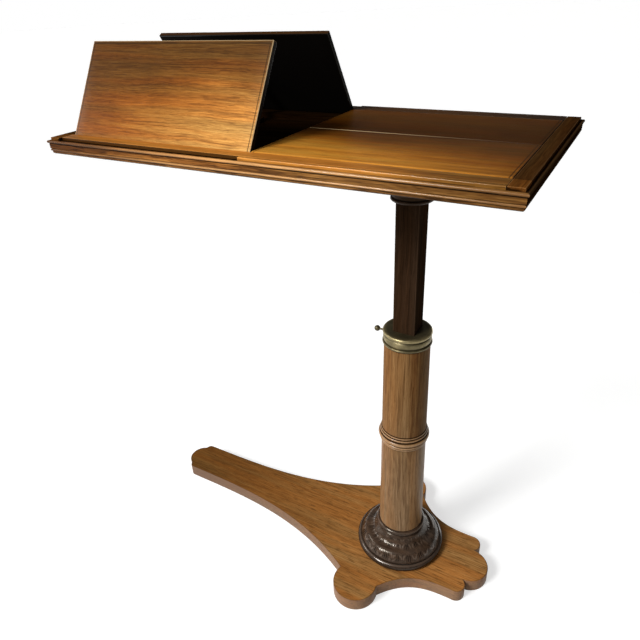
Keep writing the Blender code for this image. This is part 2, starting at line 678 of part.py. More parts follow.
def make_end_rails(looks, sides):
    """The crossbanded rails at the two ends, bored for the hinge rods."""
    half = MOULDING_IN_Y + REBATE - SEAT_GAP
    for name in ("left", "right"):
        low = (-half, -RAIL_OUT, -FLAP_THICKNESS)
        high = (half, -RAIL_IN, 0.0)
        rail = piece(f"{name}_end_rail", block(low, high), looks["rosewood"], sides[name])
        soften(rail, FLAP_ARRIS / 2)
        bore = HINGE_ROD_RADIUS + SEAT_GAP
        deep = RAIL_IN + HINGE_ROD_SEAT + SEAT_GAP
        for y in (-HINGE_Y, HINGE_Y):
            cut(rail, rod("Y", (y, -FLAP_THICKNESS / 2), bore, -deep, -RAIL_IN + RUNNING_GAP))


def make_ledge(name, looks, side):
    """The fixed strip in front of the flaps, on which a book stands, and the rod that the flaps turn on."""
    reach = RAIL_IN - SEAT_GAP
    low = (-reach, -LEDGE_OUT, -FLAP_THICKNESS)
    ledge = piece(f"{name}_ledge", block(low, (reach, -LEDGE_IN, 0.0)), looks["walnut"], side)
    soften(ledge, FLAP_ARRIS / 2)
    end = RAIL_IN + HINGE_ROD_SEAT
    made = rod("X", (-HINGE_Y, -FLAP_THICKNESS / 2), HINGE_ROD_RADIUS, -end, end)
    piece(f"{name}_hinge_rod", made, looks["steel"], side, True)


def make_stop(name, looks, side, way, raised):
    """The book stop, level with the ledge where the flap is shut and down in its slot where it is up."""
    xs = sorted((way * FLAP_IN, way * FLAP_OUT))
    drop = STOP_DROP if raised else 0.0
    inner = BED_HALF_DEPTH + SLIDE_GAP
    slide = frame(f"{name}_stop_slide", (0.0, 0.0, -drop), side)
    low = (xs[0], -inner - STOP_WIDTH, -STOP_HEIGHT)
    stop = piece(f"{name}_book_stop", block(low, (xs[1], -inner, 0.0)), looks["walnut"], slide)
    soften(stop, FLAP_ARRIS / 2)


def make_flap(name, looks, side, way, raised):
    """A flap with its bracket and pin, in a frame on the hinge axis that is turned up if it is raised."""
    hinge = frame(
        f"{name}_flap_hinge",
        (0.0, -HINGE_Y, -FLAP_THICKNESS / 2),
        side,
        (FLAP_ANGLE if raised else 0.0, 0.0, 0.0),
    )
    half = FLAP_THICKNESS / 2
    xs = sorted((way * FLAP_IN, way * FLAP_OUT))
    outline = arc((0.0, 0.0), half, 270, 90, 2 * ARC_STEPS)
    outline += arc((FLAP_REACH - FLAP_ARRIS, half - FLAP_ARRIS), FLAP_ARRIS, 90, 0, 2)
    outline += arc((FLAP_REACH - FLAP_ARRIS, FLAP_ARRIS - half), FLAP_ARRIS, 0, -90, 2)
    flap = piece(f"{name}_flap", prism(outline, "X", xs[0], xs[1]), looks["figured"], hinge)
    bore = rod("X", (0.0, 0.0), HINGE_ROD_RADIUS + SEAT_GAP, xs[0] - half, xs[1] + half)
    cut(flap, bore)
    make_bracket(name, looks, hinge, way)
    make_strut(name, looks, hinge, way, raised)


def make_bracket(name, looks, hinge, way):
    """A brass plate under the flap with two lugs that hold the strut's pin."""
    middle = way * FLAP_MID
    plate_top = -FLAP_THICKNESS / 2 - SEAT_GAP
    plate_low = plate_top - BRACKET_PLATE
    lug_in = STRUT_STEM_WIDTH / 2 + SLIDE_GAP
    low = (middle - BRACKET_LENGTH / 2, STRUT_LENGTH - BRACKET_WIDTH / 2, plate_low)
    high = (middle + BRACKET_LENGTH / 2, STRUT_LENGTH + BRACKET_WIDTH / 2, plate_top)
    bracket = piece(f"{name}_strut_bracket", block(low, high), looks["brass"], hinge)
    pivot = (STRUT_LENGTH, -STRUT_PIVOT_DROP)
    root = plate_low + BRACKET_PLATE / 2
    outline = arc(pivot, STRUT_BARREL_RADIUS, 180, 360)
    outline += [(pivot[0] + STRUT_BARREL_RADIUS, root), (pivot[0] - STRUT_BARREL_RADIUS, root)]
    for turn in (-1, 1):
        xs = sorted((middle + turn * lug_in, middle + turn * (lug_in + BRACKET_LUG)))
        join(bracket, prism(outline, "X", xs[0], xs[1]))
    bore = STRUT_PIN_RADIUS + SEAT_GAP
    reach = lug_in + BRACKET_LUG
    cut(bracket, rod("X", pivot, bore, middle - 2 * reach, middle + 2 * reach))
    made = rod("X", pivot, STRUT_PIN_RADIUS, middle - reach, middle + reach)
    piece(f"{name}_strut_pin", made, looks["steel"], hinge, True)


def make_strut(name, looks, hinge, way, raised):
    """A T-shaped prop: a barrel on the bracket's pin, a stem and a round foot bar.

    Its length equals the distance from the hinge to its pivot, so it turns back by twice the flap's angle.
    """
    turn = -2 * FLAP_ANGLE if raised else 0.0
    pivot = frame(f"{name}_strut_hinge", (0.0, STRUT_LENGTH, -STRUT_PIVOT_DROP), hinge, (turn, 0.0, 0.0))
    middle = way * FLAP_MID
    half = STRUT_STEM_WIDTH / 2
    thick = STRUT_THICKNESS / 2
    shoulder = math.degrees(math.asin(thick / STRUT_BARREL_RADIUS))
    outline = arc((0.0, 0.0), STRUT_BARREL_RADIUS, shoulder, 360 - shoulder, 2 * ARC_STEPS)
    outline += [(STRUT_LENGTH, -thick), (STRUT_LENGTH, thick)]
    stem = prism(outline, "X", middle - half, middle + half)
    strut = piece(f"{name}_strut", stem, looks["walnut"], pivot)
    foot = STRUT_FOOT_LENGTH / 2
    join(strut, rod("X", (STRUT_LENGTH, 0.0), STRUT_FOOT_RADIUS, middle - foot, middle + foot))
    bore = STRUT_PIN_RADIUS + SEAT_GAP
    cut(strut, rod("X", (0.0, 0.0), bore, middle - STRUT_STEM_WIDTH, middle + STRUT_STEM_WIDTH))


def foot_place(cosine):
    """Where the strut's foot is, from the hinge axis, when the flap's angle has this cosine."""
    sine = math.sqrt(1 - cosine**2)
    return (
        2 * STRUT_LENGTH * cosine + STRUT_PIVOT_DROP * sine,
        -STRUT_PIVOT_DROP * cosine - STRUT_FOOT_RADIUS,
    )


def make_rack(name, looks, side, way):
    """A plate in the well with a toothed strip each side of the stem, under the strut foot's path."""
    middle = way * FLAP_MID
    plate_low = WELL_FLOOR + SEAT_GAP
    axis_z = -FLAP_THICKNESS / 2
    teeth = []
    for i in range(RACK_TEETH + 1):
        reach, height = foot_place(1.0 - i * RACK_STEP)
        tip = (reach - HINGE_Y, axis_z + height - SLIDE_GAP)
        if teeth:
            root = teeth[-1][0] + RACK_TOOTH_LEAN * (tip[0] - teeth[-1][0])
            teeth.append((root, tip[1] - RACK_TOOTH_DEPTH))
        teeth.append(tip)
    far = teeth[0][0] + STRUT_FOOT_RADIUS
    near = teeth[-1][0] - STRUT_FOOT_RADIUS
    outline = [(near, plate_low), (far, plate_low), (far, teeth[0][1])] + teeth + [(near, teeth[-1][1])]
    strip_in = STRUT_STEM_WIDTH / 2 + SLIDE_GAP + BRACKET_LUG + RUNNING_GAP
    strip_out = strip_in + RACK_STRIP_WIDTH
    plate = block((middle - strip_out, near, plate_low), (middle + strip_out, far, plate_low + RACK_PLATE))
    rack = piece(f"{name}_rack", plate, looks["rosewood"], side)
    for turn in (-1, 1):
        xs = sorted((middle + turn * strip_in, middle + turn * strip_out))
        join(rack, prism(outline, "X", xs[0], xs[1]))


def make_quarters(looks, sides):
    """The four flaps with what serves each. The left pair is raised and the right pair is shut."""
    for side_name, facing in (("front", 1), ("back", -1)):
        side = sides[side_name]
        make_ledge(side_name, looks, side)
        for end_name, end in (("left", -1), ("right", 1)):
            name = f"{side_name}_{end_name}"
            way = facing * end
            raised = end_name == "left"
            make_flap(name, looks, side, way, raised)
            make_rack(name, looks, side, way)
            make_stop(name, looks, side, way, raised)


def make_looks():
    return {
        "walnut": finish("walnut", (0.30, 0.15, 0.055), 0.38),
        "figured": finish("figured_walnut", (0.36, 0.18, 0.065), 0.33),
        "rosewood": finish("rosewood", (0.11, 0.045, 0.022), 0.35),
        "ebonised": finish("ebonised", (0.045, 0.025, 0.018), 0.30),
        "brass": finish("brass", (0.48, 0.36, 0.17), 0.35, 1.0),
        "steel": finish("steel", (0.42, 0.42, 0.43), 0.35, 1.0),
    }


def main():
    clear_scene()
    looks = make_looks()
    pedestal = frame("pedestal", (0.0, 0.0, 0.0))
    lift = frame("post_slide", (0.0, 0.0, 0.0))
    top = frame("table_top", (-TOP_OFFSET, 0.0, TOP_Z), lift)
    turns = {"front": 0.0, "right": math.pi / 2, "back": math.pi, "left": -math.pi / 2}
    sides = {}
    for name, turn in turns.items():
        sides[name] = frame(f"{name}_side", (0.0, 0.0, 0.0), top, (0.0, 0.0, turn))
    make_base(looks, pedestal)
    make_column(looks, pedestal)
    make_foot_ring(looks, pedestal)
    make_collar(looks, pedestal)
    make_clamp(looks, pedestal)
    make_post(looks, lift)
    make_boss(looks, lift)
    make_bearer(looks, lift)
    make_bed(looks, top)
    make_edges(looks, sides)
    make_end_rails(looks, sides)
    make_quarters(looks, sides)


main()
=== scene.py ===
"""Looks for an adjustable reading table on a column, laid out as an add-on.

Each operator makes one piece, or one group of like pieces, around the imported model, which is loaded first
as a fixed frame. Lengths are metres, +Z is up and -Y is the front.
"""

import json
import math
from functools import cache

import bmesh
import bpy
import numpy as np
from bpy.props import FloatProperty, FloatVectorProperty, IntProperty, PointerProperty
from mathutils import Matrix, Vector


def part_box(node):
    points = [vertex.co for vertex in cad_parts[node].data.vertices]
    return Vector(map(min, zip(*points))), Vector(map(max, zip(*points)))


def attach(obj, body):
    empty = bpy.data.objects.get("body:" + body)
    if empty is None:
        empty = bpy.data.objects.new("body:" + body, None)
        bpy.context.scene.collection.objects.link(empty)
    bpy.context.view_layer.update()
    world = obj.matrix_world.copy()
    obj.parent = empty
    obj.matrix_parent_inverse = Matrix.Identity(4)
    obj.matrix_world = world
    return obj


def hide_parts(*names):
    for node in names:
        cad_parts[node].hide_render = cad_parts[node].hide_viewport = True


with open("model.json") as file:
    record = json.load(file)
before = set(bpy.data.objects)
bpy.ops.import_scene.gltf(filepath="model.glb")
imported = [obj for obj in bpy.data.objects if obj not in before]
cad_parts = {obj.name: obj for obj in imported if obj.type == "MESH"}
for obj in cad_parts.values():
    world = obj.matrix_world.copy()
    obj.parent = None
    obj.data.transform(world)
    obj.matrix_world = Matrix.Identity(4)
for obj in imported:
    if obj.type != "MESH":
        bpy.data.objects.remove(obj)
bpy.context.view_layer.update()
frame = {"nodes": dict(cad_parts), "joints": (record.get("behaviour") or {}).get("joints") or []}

bl_info = {
    "name": "Reading Table",
    "version": (1, 0, 0),
    "blender": (4, 5, 0),
    "location": "View3D > Sidebar > Reading Table",
    "description": "Dresses the packed reading table with turned, carved and polished pieces",
    "category": "Object",
}

JOINTS = {joint["name"]: joint for joint in frame["joints"]}
ENDS = ("left", "right")
SIDES = ("front", "back")
QUARTERS = [f"{side}_{end}" for side in SIDES for end in ENDS]

# The gap between pieces that fit together, and the radii at which column, floor board and collar meet
FIT = 0.0003
TENON, NECK, SPIGOT = 0.020, 0.038, 0.0345
# What keeps a division from 0, what counts as one point, and how near a face its own points lie
TINY, WELD, ON_FACE = 1e-9, 1e-6, 0.0003
# How far an edge stands out at full relief, how strongly carving shows as painted light and shade, and which
# edges stay sharp
FULL_RELIEF, CARVED_SHADE, SHARP_ANGLE = 0.0006, 1.5, math.radians(38)


def low(node):
    """A node's lowest corner."""
    return np.array(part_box(node)[0])


def high(node):
    """A node's highest corner."""
    return np.array(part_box(node)[1])


# Shapes


def arc(centre, radius, start, end, steps=12):
    """Points on a circle: centre + radius (cos a, sin a), with a even from start to end in degrees."""
    angle = np.radians(np.linspace(start, end, steps + 1))
    return np.column_stack((centre[0] + radius * np.cos(angle), centre[1] + radius * np.sin(angle)))


def joined(*parts):
    """One outline from points and runs of points, in order, a row for each point."""
    return np.vstack([np.atleast_2d(np.asarray(part, float)) for part in parts])


def marked(points, marks):
    """Points of an outline with their relief as a third column."""
    points = np.atleast_2d(points)
    return np.column_stack((points, np.broadcast_to(marks, len(points))))


def beaded(centre, radius, start, end, steps, shine):
    """An arc whose relief is shine(a), with a in degrees."""
    return marked(arc(centre, radius, start, end, steps), shine(np.linspace(start, end, steps + 1)))


def to_next(outline):
    """The step from each point of a closed outline to the next one, and its length in the outline's plane."""
    ahead = np.roll(outline, -1, axis=0) - outline
    return ahead, np.hypot(*ahead[:, :2].T)


def resampled(outline, spacing):
    """The same outline with points no further apart than spacing: straight runs are cut into equal steps, and
    so is what a third column holds.
    """
    ahead, lengths = to_next(outline)
    counts = np.maximum(1, np.ceil(lengths / spacing)).astype(int)
    start = np.repeat(np.arange(len(outline)), counts)
    first = np.cumsum(counts) - counts
    way = (np.arange(counts.sum()) - first[start]) / counts[start]
    return outline[start] + ahead[start] * way[:, None]


def guarded(outline, guard=0.0011):
    """The same outline with two more points on each long straight run, one near each end of it and with 0 in
    the third column, so that what is marked at a corner stays there.
    """
    ahead, lengths = to_next(outline)
    share = np.where(lengths > 3 * guard, guard / np.maximum(lengths, TINY), np.nan)[:, None]
    near = outline + ahead * share
    far = outline + ahead - ahead * share
    near[:, 2] *= 0.0
    far[:, 2] *= 0.0
    rows = np.stack((outline, near, far), axis=1).reshape(-1, outline.shape[1])
    return rows[~np.isnan(rows).any(axis=1)]


def outward(outline):
    """Unit normals of a closed outline: the mean of the two edge normals at each point, pointing out."""
    ahead, lengths = to_next(outline)
    ahead /= np.maximum(lengths, TINY)[:, None]
    normal = np.column_stack((ahead[:, 1], -ahead[:, 0]))
    mean = normal + np.roll(normal, 1, axis=0)
    mean /= np.maximum(np.hypot(*mean.T), TINY)[:, None]
    x, y = outline.T
    area = np.sum(x * np.roll(y, -1) - y * np.roll(x, -1))
    return mean if area > 0 else -mean


# Relief marks kept with a mesh set where its wood or metal gets a painted highlight and painted shade
def relief(outline, reach=3):
    """How far each point of a closed outline stands out of the mean of its neighbours, from -1 to 1."""
    near = sum(np.roll(outline, k, axis=0) for k in range(-reach, reach + 1)) / (2 * reach + 1)
    proud = np.sum((outline - near) * outward(outline), axis=1)
    return np.clip(proud / FULL_RELIEF, -1.0, 1.0)


def grid_faces(rows, columns, closed_rows):
    """Corner numbers of the quads of a grid whose columns close up, and its rows too with closed_rows."""
    i, j = np.meshgrid(np.arange(rows if closed_rows else rows - 1), np.arange(columns), indexing="ij")
    i, j = i.ravel(), j.ravel()
    up, across = (i + 1) % rows, (j + 1) % columns
    return np.column_stack((i * columns + j, up * columns + j, up * columns + across, i * columns + across))


def solid(name, points, closed_rows=False, caps=False, marks=None, uv=None):
    """A closed piece from a grid of points: quads between the rows, and with caps a face on each end row.

    marks holds values for each grid point, and uv places, both kept with the mesh for its material.
    """
    rows, columns = points.shape[:2]
    faces = grid_faces(rows, columns, closed_rows).tolist()
    if caps:
        faces.append(list(range(columns))[::-1])
        faces.append(list(range((rows - 1) * columns, rows * columns)))
    mesh = bpy.data.meshes.new(name)
    mesh.from_pydata(points.reshape(-1, 3).tolist(), [], faces)
    for key, values in (marks or {}).items():
        layer = mesh.attributes.new(key, "FLOAT", "POINT")
        layer.data.foreach_set("value", np.ascontiguousarray(values, np.float32).ravel())
    if uv is not None:
        corners = np.empty(len(mesh.loops), np.int32)
        mesh.loops.foreach_get("vertex_index", corners)
        layer = mesh.uv_layers.new(name="place")
        layer.data.foreach_set("uv", uv.reshape(-1, 2)[corners].astype(np.float32).ravel())
    form = bmesh.new()
    form.from_mesh(mesh)
    bmesh.ops.remove_doubles(form, verts=form.verts, dist=WELD)
    bmesh.ops.dissolve_degenerate(form, edges=form.edges, dist=WELD / 10)
    bmesh.ops.recalc_face_normals(form, faces=form.faces)
    if form.calc_volume(signed=True) < 0:
        bmesh.ops.reverse_faces(form, faces=form.faces)
    form.to_mesh(mesh)
    form.free()
    mesh.shade_smooth()
    mesh.set_sharp_from_angle(angle=SHARP_ANGLE)
    made = bpy.data.objects.new(name, mesh)
    bpy.context.scene.collection.objects.link(made)
    return made


def turned(name, profile, steps=128, square=None, carve=None, lying=None):
    """A closed (radius, height) outline spun round Z: (r cos a, r sin a, h). A third column gives its relief.

    square is a half side and the numbers of the points that lie on a square hole instead, at
    half / max(|cos a|, |sin a|) from the axis. carve gives a push along the outline's normal for each
    angle and point. lying is the height of a piece that lies along X: (h, r cos a, lying + r sin a).
    """
    angle = np.arange(steps)[:, None] * 2 * math.pi / steps
    stand = profile[:, 2] if profile.shape[1] > 2 else relief(profile)
    profile = profile[:, :2]
    radius, height, stand = (np.repeat(part[None], steps, axis=0) for part in (*profile.T, stand))
    if carve is not None:
        push = carve(angle, profile)
        normal = outward(profile)
        radius = radius + push * normal[:, 0]
        height = height + push * normal[:, 1]
        # Carving gets painted shade in its hollows and a painted highlight on its raised parts
        stand = np.clip(stand + CARVED_SHADE * push / np.abs(push).max(), -1.0, 1.0)
    if square is not None:
        half, places = square
        radius[:, places] = half / np.maximum(np.abs(np.cos(angle)), np.abs(np.sin(angle)))
    points = np.stack((radius * np.cos(angle), radius * np.sin(angle), height), axis=-1)
    if lying is not None:
        points = points[..., [2, 0, 1]] + (0.0, 0.0, lying)
    return solid(name, points, True, marks={"relief": stand})


def bar(name, outline, start, end, arris, place, flat=False, spacing=0.02, grime=None, ends=1.0):
    """A closed outline carried along X, its end edges rounded: near an end the outline is drawn in by
    arris (1 - sin t) while X runs arris (1 - cos t), with t from 0 to 90 degrees.

    place turns (x, a, b) into the piece's own place. A flat piece keeps its own (x, a) as UV, and marks its
    underside and end faces. grime picks the points of the outline to darken with painted shade and dirt, in a
    slot or along a flap, and ends is how strongly the end edges get the colour of wear and a painted
    highlight.
    """
    outline = resampled(guarded(marked(outline, np.clip(relief(outline, 2), 0, 1))), spacing)
    outline, stand = outline[:, :2], outline[:, 2]
    turns = 5
    t = np.radians(np.linspace(0, 90, turns))
    inset = arris * (1 - np.sin(t))
    run = arris * (1 - np.cos(t))
    stations = np.linspace(start + arris, end - arris, max(2, int((end - start) / spacing)))
    along = np.concatenate(([start], start + run, stations[1:-1], (end - run)[::-1], [end]))
    drawn = np.concatenate((inset, np.zeros(len(stations) - 2), inset[::-1]))
    rim = outline[None] - drawn[:, None, None] * outward(outline)[None]
    middle = np.broadcast_to(outline.mean(axis=0), (1, *outline.shape))
    section = np.concatenate((middle, rim, middle))
    # The end edges get the colour of wear and a painted highlight
    edge = np.zeros(section.shape[:2])
    edge[2:turns] = ends
    edge[-turns:-2] = ends
    marks = {"relief": np.maximum(edge, stand[None])}
    # Points in a slot or along a flap get painted shade with dirt
    if grime is not None:
        marks["relief"][:, grime(outline)] = -1.0
    x = np.broadcast_to(along[:, None], section.shape[:2])
    a, b = section[..., 0], section[..., 1]
    uv = None
    if flat:
        uv = np.stack((x - start, a), axis=-1)
        marks["under"] = (b < 0.7 * outline[:, 1].min()).astype(float)
        marks["under"][[0, 1, -2, -1]] = 1.0
    return solid(name, place(x, a, b), marks=marks, uv=uv)


def rounded(low_corner, high_corner, radius, steps=4):
    """A rectangle with round corners, as quarter circles at its four corners."""
    (x0, y0), (x1, y1) = low_corner + radius, high_corner - radius
    corners = ((x1, y0), (x1, y1), (x0, y1), (x0, y0))
    return joined(*(arc(at, radius, 90 * k - 90, 90 * k, steps) for k, at in enumerate(corners)))


def strip(name, node, run, radius, arris=0.0006, **details):
    """A bar that fills a node's box along the axis numbered run, with round corners on its section."""
    start, end = low(node), high(node)
    rest = [k for k in range(3) if k != run]

    def place(x, a, b):
        axes = [a, b]
        axes.insert(run, x)
        return np.stack(axes, axis=-1)

    section = rounded(start[rest], end[rest], radius)
    return bar(name, section, start[run], end[run], arris, place, **details)


# Shader maths


class Term:
    """A shader value. Arithmetic on terms and numbers adds Math nodes to the tree it belongs to."""

    def __init__(self, paint, socket):
        self.paint = paint
        self.socket = socket

    def maths(self, operation, first, second=0.0):
        made = self.paint.node("ShaderNodeMath", {"operation": operation}, {0: first, 1: second})
        return Term(self.paint, made.outputs[0])

    def __add__(self, other):
        return self.maths("ADD", self, other)

    __radd__ = __add__

    def __sub__(self, other):
        return self.maths("SUBTRACT", self, other)

    def __rsub__(self, other):
        return self.maths("SUBTRACT", other, self)

    def __mul__(self, other):
        return self.maths("MULTIPLY", self, other)

    __rmul__ = __mul__

    def __neg__(self):
        return self.maths("MULTIPLY", self, -1.0)

    def __abs__(self):
        return self.maths("ABSOLUTE", self)

    def least(self, other):
        return self.maths("MINIMUM", self, other)

    def most(self, other):
        return self.maths("MAXIMUM", self, other)

    def between(self, start, end):
        """0 below start and 1 above end, with a smooth step between them."""
        made = self.paint.node(
            "ShaderNodeMapRange",
            {"interpolation_type": "SMOOTHSTEP", "clamp": True},
            {"Value": self, "From Min": start, "From Max": end},
        )
        return Term(self.paint, made.outputs[0])


class Paint:
    """A material and the nodes in it."""

    def __init__(self, name, preview):
        self.material = bpy.data.materials.new(name)
        self.material.use_nodes = True
        self.material.diffuse_color = (*preview, 1.0)
        self.tree = self.material.node_tree
        self.shader = self.tree.nodes["Principled BSDF"]

    @classmethod
    def on(cls, tree):
        """Works on a node tree that has no material of its own."""
        made = cls.__new__(cls)
        made.tree = tree
        return made

    def node(self, kind, settings=None, sockets=None):
        """Adds a node, sets it up, then gives its sockets their values or links."""
        made = self.tree.nodes.new(kind)
        for key, value in (settings or {}).items():
            setattr(made, key, value)
        self.feed(made, sockets or {})
        return made

    def feed(self, node, sockets):
        """Gives a node's sockets their values or links."""
        for key, value in sockets.items():
            if isinstance(value, Term):
                value = value.socket
            if isinstance(value, bpy.types.NodeSocket):
                self.tree.links.new(value, node.inputs[key])
            else:
                node.inputs[key].default_value = value

    def surface(self, **sockets):
        """Feeds the shader: a name such as Base_Color stands for the socket Base Color."""
        self.feed(self.shader, {key.replace("_", " "): value for key, value in sockets.items()})

    def place(self):
        return self.node("ShaderNodeTexCoord").outputs["Object"]

    def stretched(self, place, scale):
        return self.node("ShaderNodeMapping", {}, {"Vector": place, "Scale": scale}).outputs[0]

    def noise(self, place, scale=1.0, detail=4.0, roughness=0.55, distortion=0.0):
        sockets = {
            "Vector": place,
            "Scale": scale,
            "Detail": detail,
            "Roughness": roughness,
            "Distortion": distortion,
        }
        return Term(self, self.node("ShaderNodeTexNoise", {}, sockets).outputs[0])

    def parts(self, vector):
        """The three parts of a vector as terms."""
        made = self.node("ShaderNodeSeparateXYZ", {}, {0: vector})
        return [Term(self, made.outputs[k]) for k in range(3)]

    def vector(self, x, y, z):
        return self.node("ShaderNodeCombineXYZ", {}, {0: x, 1: y, 2: z}).outputs[0]

    def mark(self, name):
        """A value that is kept with the mesh."""
        return Term(self, self.node("ShaderNodeAttribute", {"attribute_name": name}).outputs["Fac"])

    def rays(self, *kinds):
        """1 for rays of any of the kinds."""
        path = self.node("ShaderNodeLightPath").outputs
        found = Term(self, path[kinds[0]])
        for kind in kinds[1:]:
            found = found.most(Term(self, path[kind]))
        return found

    def mix(self, factor, first, second, how="MIX"):
        """A colour part-way from the first to the second."""
        settings = {"data_type": "RGBA", "blend_type": how, "clamp_factor": True}
        made = self.node("ShaderNodeMix", settings, {0: factor, 6: opaque(first), 7: opaque(second)})
        return made.outputs[2]

    def times(self, colour, tones):
        """A colour multiplied by tones."""
        return self.mix(1.0, colour, tones, "MULTIPLY")

    def bumped(self, height, strength, distance):
        sockets = {"Height": height, "Strength": strength, "Distance": distance}
        return self.node("ShaderNodeBump", {}, sockets).outputs[0]


def opaque(colour):
    """A colour for a socket: a link stays, and numbers get their alpha."""
    if isinstance(colour, bpy.types.NodeSocket):
        return colour
    return (*tuple(colour)[:3], 1.0)


def scaled(colour, share):
    """A darker or lighter colour, no part of it above 1."""
    return [min(1.0, share * part) for part in colour]


WHITE, BLACK = (1.0, 1.0, 1.0), (0.0, 0.0, 0.0)
AMBER, PALE = (1.0, 0.78, 0.48, 1.0), (1.0, 0.90, 0.76, 1.0)
WARM, COOL = (1.08, 0.97, 0.84), (0.93, 1.02, 1.12)
# A pale tint added to the paler edge colour of light woods: wear and a painted highlight
PALE_RUB_AND_HIGHLIGHT = (0.06, 0.05, 0.035)
GRAIN = {"X": (0, 1, 2), "Y": (1, 0, 2), "Z": (2, 0, 1)}


def wood(
    name, colours, grain="X", figure=0.4, fine_by=1.0, polish=0.36, shift=1.0, gloss=0.10, lining=None,
    rub_and_sheen=None,
):
    """Polished wood. Three noises drawn out along the grain, broad, fine and hair-fine, add up to streaks,
    a slow noise bends them into figure, and thin dark dashes and pores lie among them. Proud edges are paler,
    from wear and a painted highlight, and shine, and hollows are darkened by old polish and painted shade.

    fine_by makes the whole grain finer, polish is the roughness, shift moves the noise and gloss is the
    shine. lining changes colour and roughness over the piece, and rub gives the share of wear and painted
    highlight there.
    """
    dark, middle, light = colours
    paint = Paint(name, middle)
    place = paint.place()
    axes = paint.parts(place)
    along, across, deep = (axes[k] for k in GRAIN[grain])
    bend = paint.noise(paint.vector(along * 5.0 + shift, across * 10.0, deep * 10.0), 1.0, 2.0)
    wave = paint.noise(paint.vector(along * 22.0, across * 40.0 + shift, deep * 40.0), 1.0, 2.0)
    across = across + (bend - 0.5) * (0.030 * figure) + (wave - 0.5) * (0.008 * figure)
    deep = deep + (bend - 0.5) * (0.030 * figure)

    def streaks(length, width, detail, start=0.0):
        """Noise drawn out along the grain: length and width are cells to the metre along and across it."""
        length, width = fine_by * length, fine_by * width
        cells = paint.vector(along * length + start, across * width, deep * width)
        return paint.noise(cells, 1.0, detail, 0.6)

    broad = streaks(2.4, 42.0, 5.0, shift)
    fine = streaks(6.0, 190.0, 3.0)
    hair = streaks(24.0, 560.0, 2.0)
    dashes = streaks(4.5, 400.0, 2.0, 7.0)
    pores = streaks(60.0, 950.0, 1.0).between(0.62, 0.74)
    hue = streaks(1.2, 26.0, 2.0, 3.0).between(0.36, 0.64)
    patch = paint.noise(paint.stretched(place, (5.0, 5.0, 5.0)), 1.0, 2.0)
    tone = 0.32 * broad + 0.35 * fine + 0.33 * hair
    colour = paint.mix(tone.between(0.39, 0.50), dark, middle)
    colour = paint.mix(tone.between(0.49, 0.61) * 0.85, colour, light)
    colour = paint.mix(dashes.between(0.55, 0.66) * 0.70, colour, scaled(dark, 0.6))
    colour = paint.mix(pores * 0.5, colour, scaled(dark, 0.4))
    colour = paint.times(colour, paint.mix(hue, WARM, COOL))
    stand = paint.mark("relief")
    # Proud edges get a paler colour: wear from rubbing and a painted highlight
    kept = rub_and_sheen(paint) if rub_and_sheen else 1.0
    rub_and_highlight = stand.between(0.3, 0.95) * (0.40 + 0.45 * patch) * kept
    pale_share = min(1.0, 5.0 * light[0])
    wear_and_highlight = [1.25 * part + pale_share * more for part, more in zip(light, PALE_RUB_AND_HIGHLIGHT)]
    colour = paint.mix(rub_and_highlight, colour, wear_and_highlight)
    # Hollows get painted shade along with old polish
    colour = paint.mix((-stand).between(0.12, 0.7) * 0.94, colour, scaled(dark, 0.16))
    rough = polish + 0.16 * (hair - 0.5) + 0.12 * pores + 0.12 * (patch - 0.5)
    if lining:
        colour, rough = lining(paint, colour, rough)
    bump, tint = (0.16, AMBER) if gloss < 0.2 else (0.03, PALE)
    paint.surface(
        Base_Color=colour,
        Roughness=rough,
        Normal=paint.bumped(hair * 0.4 + fine * 0.4 - pores * 0.8, bump, 0.0004),
        Specular_IOR_Level=gloss,
        Specular_Tint=tint,
    )
    if gloss:
        paint.surface(Coat_Weight=stand.between(0.3, 0.9) * 0.8 * kept, Coat_Roughness=0.2)
    return paint.material


def metal(name, dull, bright, roughness):
    """Old metal: cloudy tarnish from two noises, fine scratches from rubbing round the piece, edges bright
    from wear and a painted highlight, and painted shade where a piece is marked dark.
    """
    paint = Paint(name, bright)
    place = paint.place()
    cloud = paint.noise(place, 38.0, 5.0, 0.65, 0.4)
    spots = paint.noise(place, 240.0, 3.0).between(0.58, 0.70)
    lines = paint.noise(paint.stretched(place, (60.0, 60.0, 2400.0)), 1.0, 2.0)
    stand = paint.mark("relief")
    colour = paint.mix(cloud.between(0.35, 0.68), dull, bright)
    colour = paint.mix(spots * 0.35, colour, scaled(dull, 0.5))
    # Proud edges get a painted highlight as well as wear
    colour = paint.mix(stand.between(0.2, 0.9) * 0.6, colour, scaled(bright, 1.7))
    # Places marked dark get painted shade: grooves, a lip and the collar's plate under the top
    colour = paint.mix((-stand).between(0.1, 0.8) * 0.7, colour, scaled(dull, 0.3))
    paint.surface(
        Base_Color=colour,
        Metallic=0.75,
        Roughness=roughness + 0.18 * (0.5 - cloud) + 0.12 * spots + 0.06 * (lines - 0.5),
        Normal=paint.bumped(lines * 0.3 - spots * 0.5, 0.12, 0.0002),
    )
    return paint.material


# Settings


def a_length(name, description, default):
    return FloatProperty(name=name, description=description, default=default, unit="LENGTH")


def an_angle(name, description, default):
    return FloatProperty(name=name, description=description, default=default, subtype="ANGLE")


def a_colour(name, description, default):
    return FloatVectorProperty(name=name, description=description, default=default, subtype="COLOR")


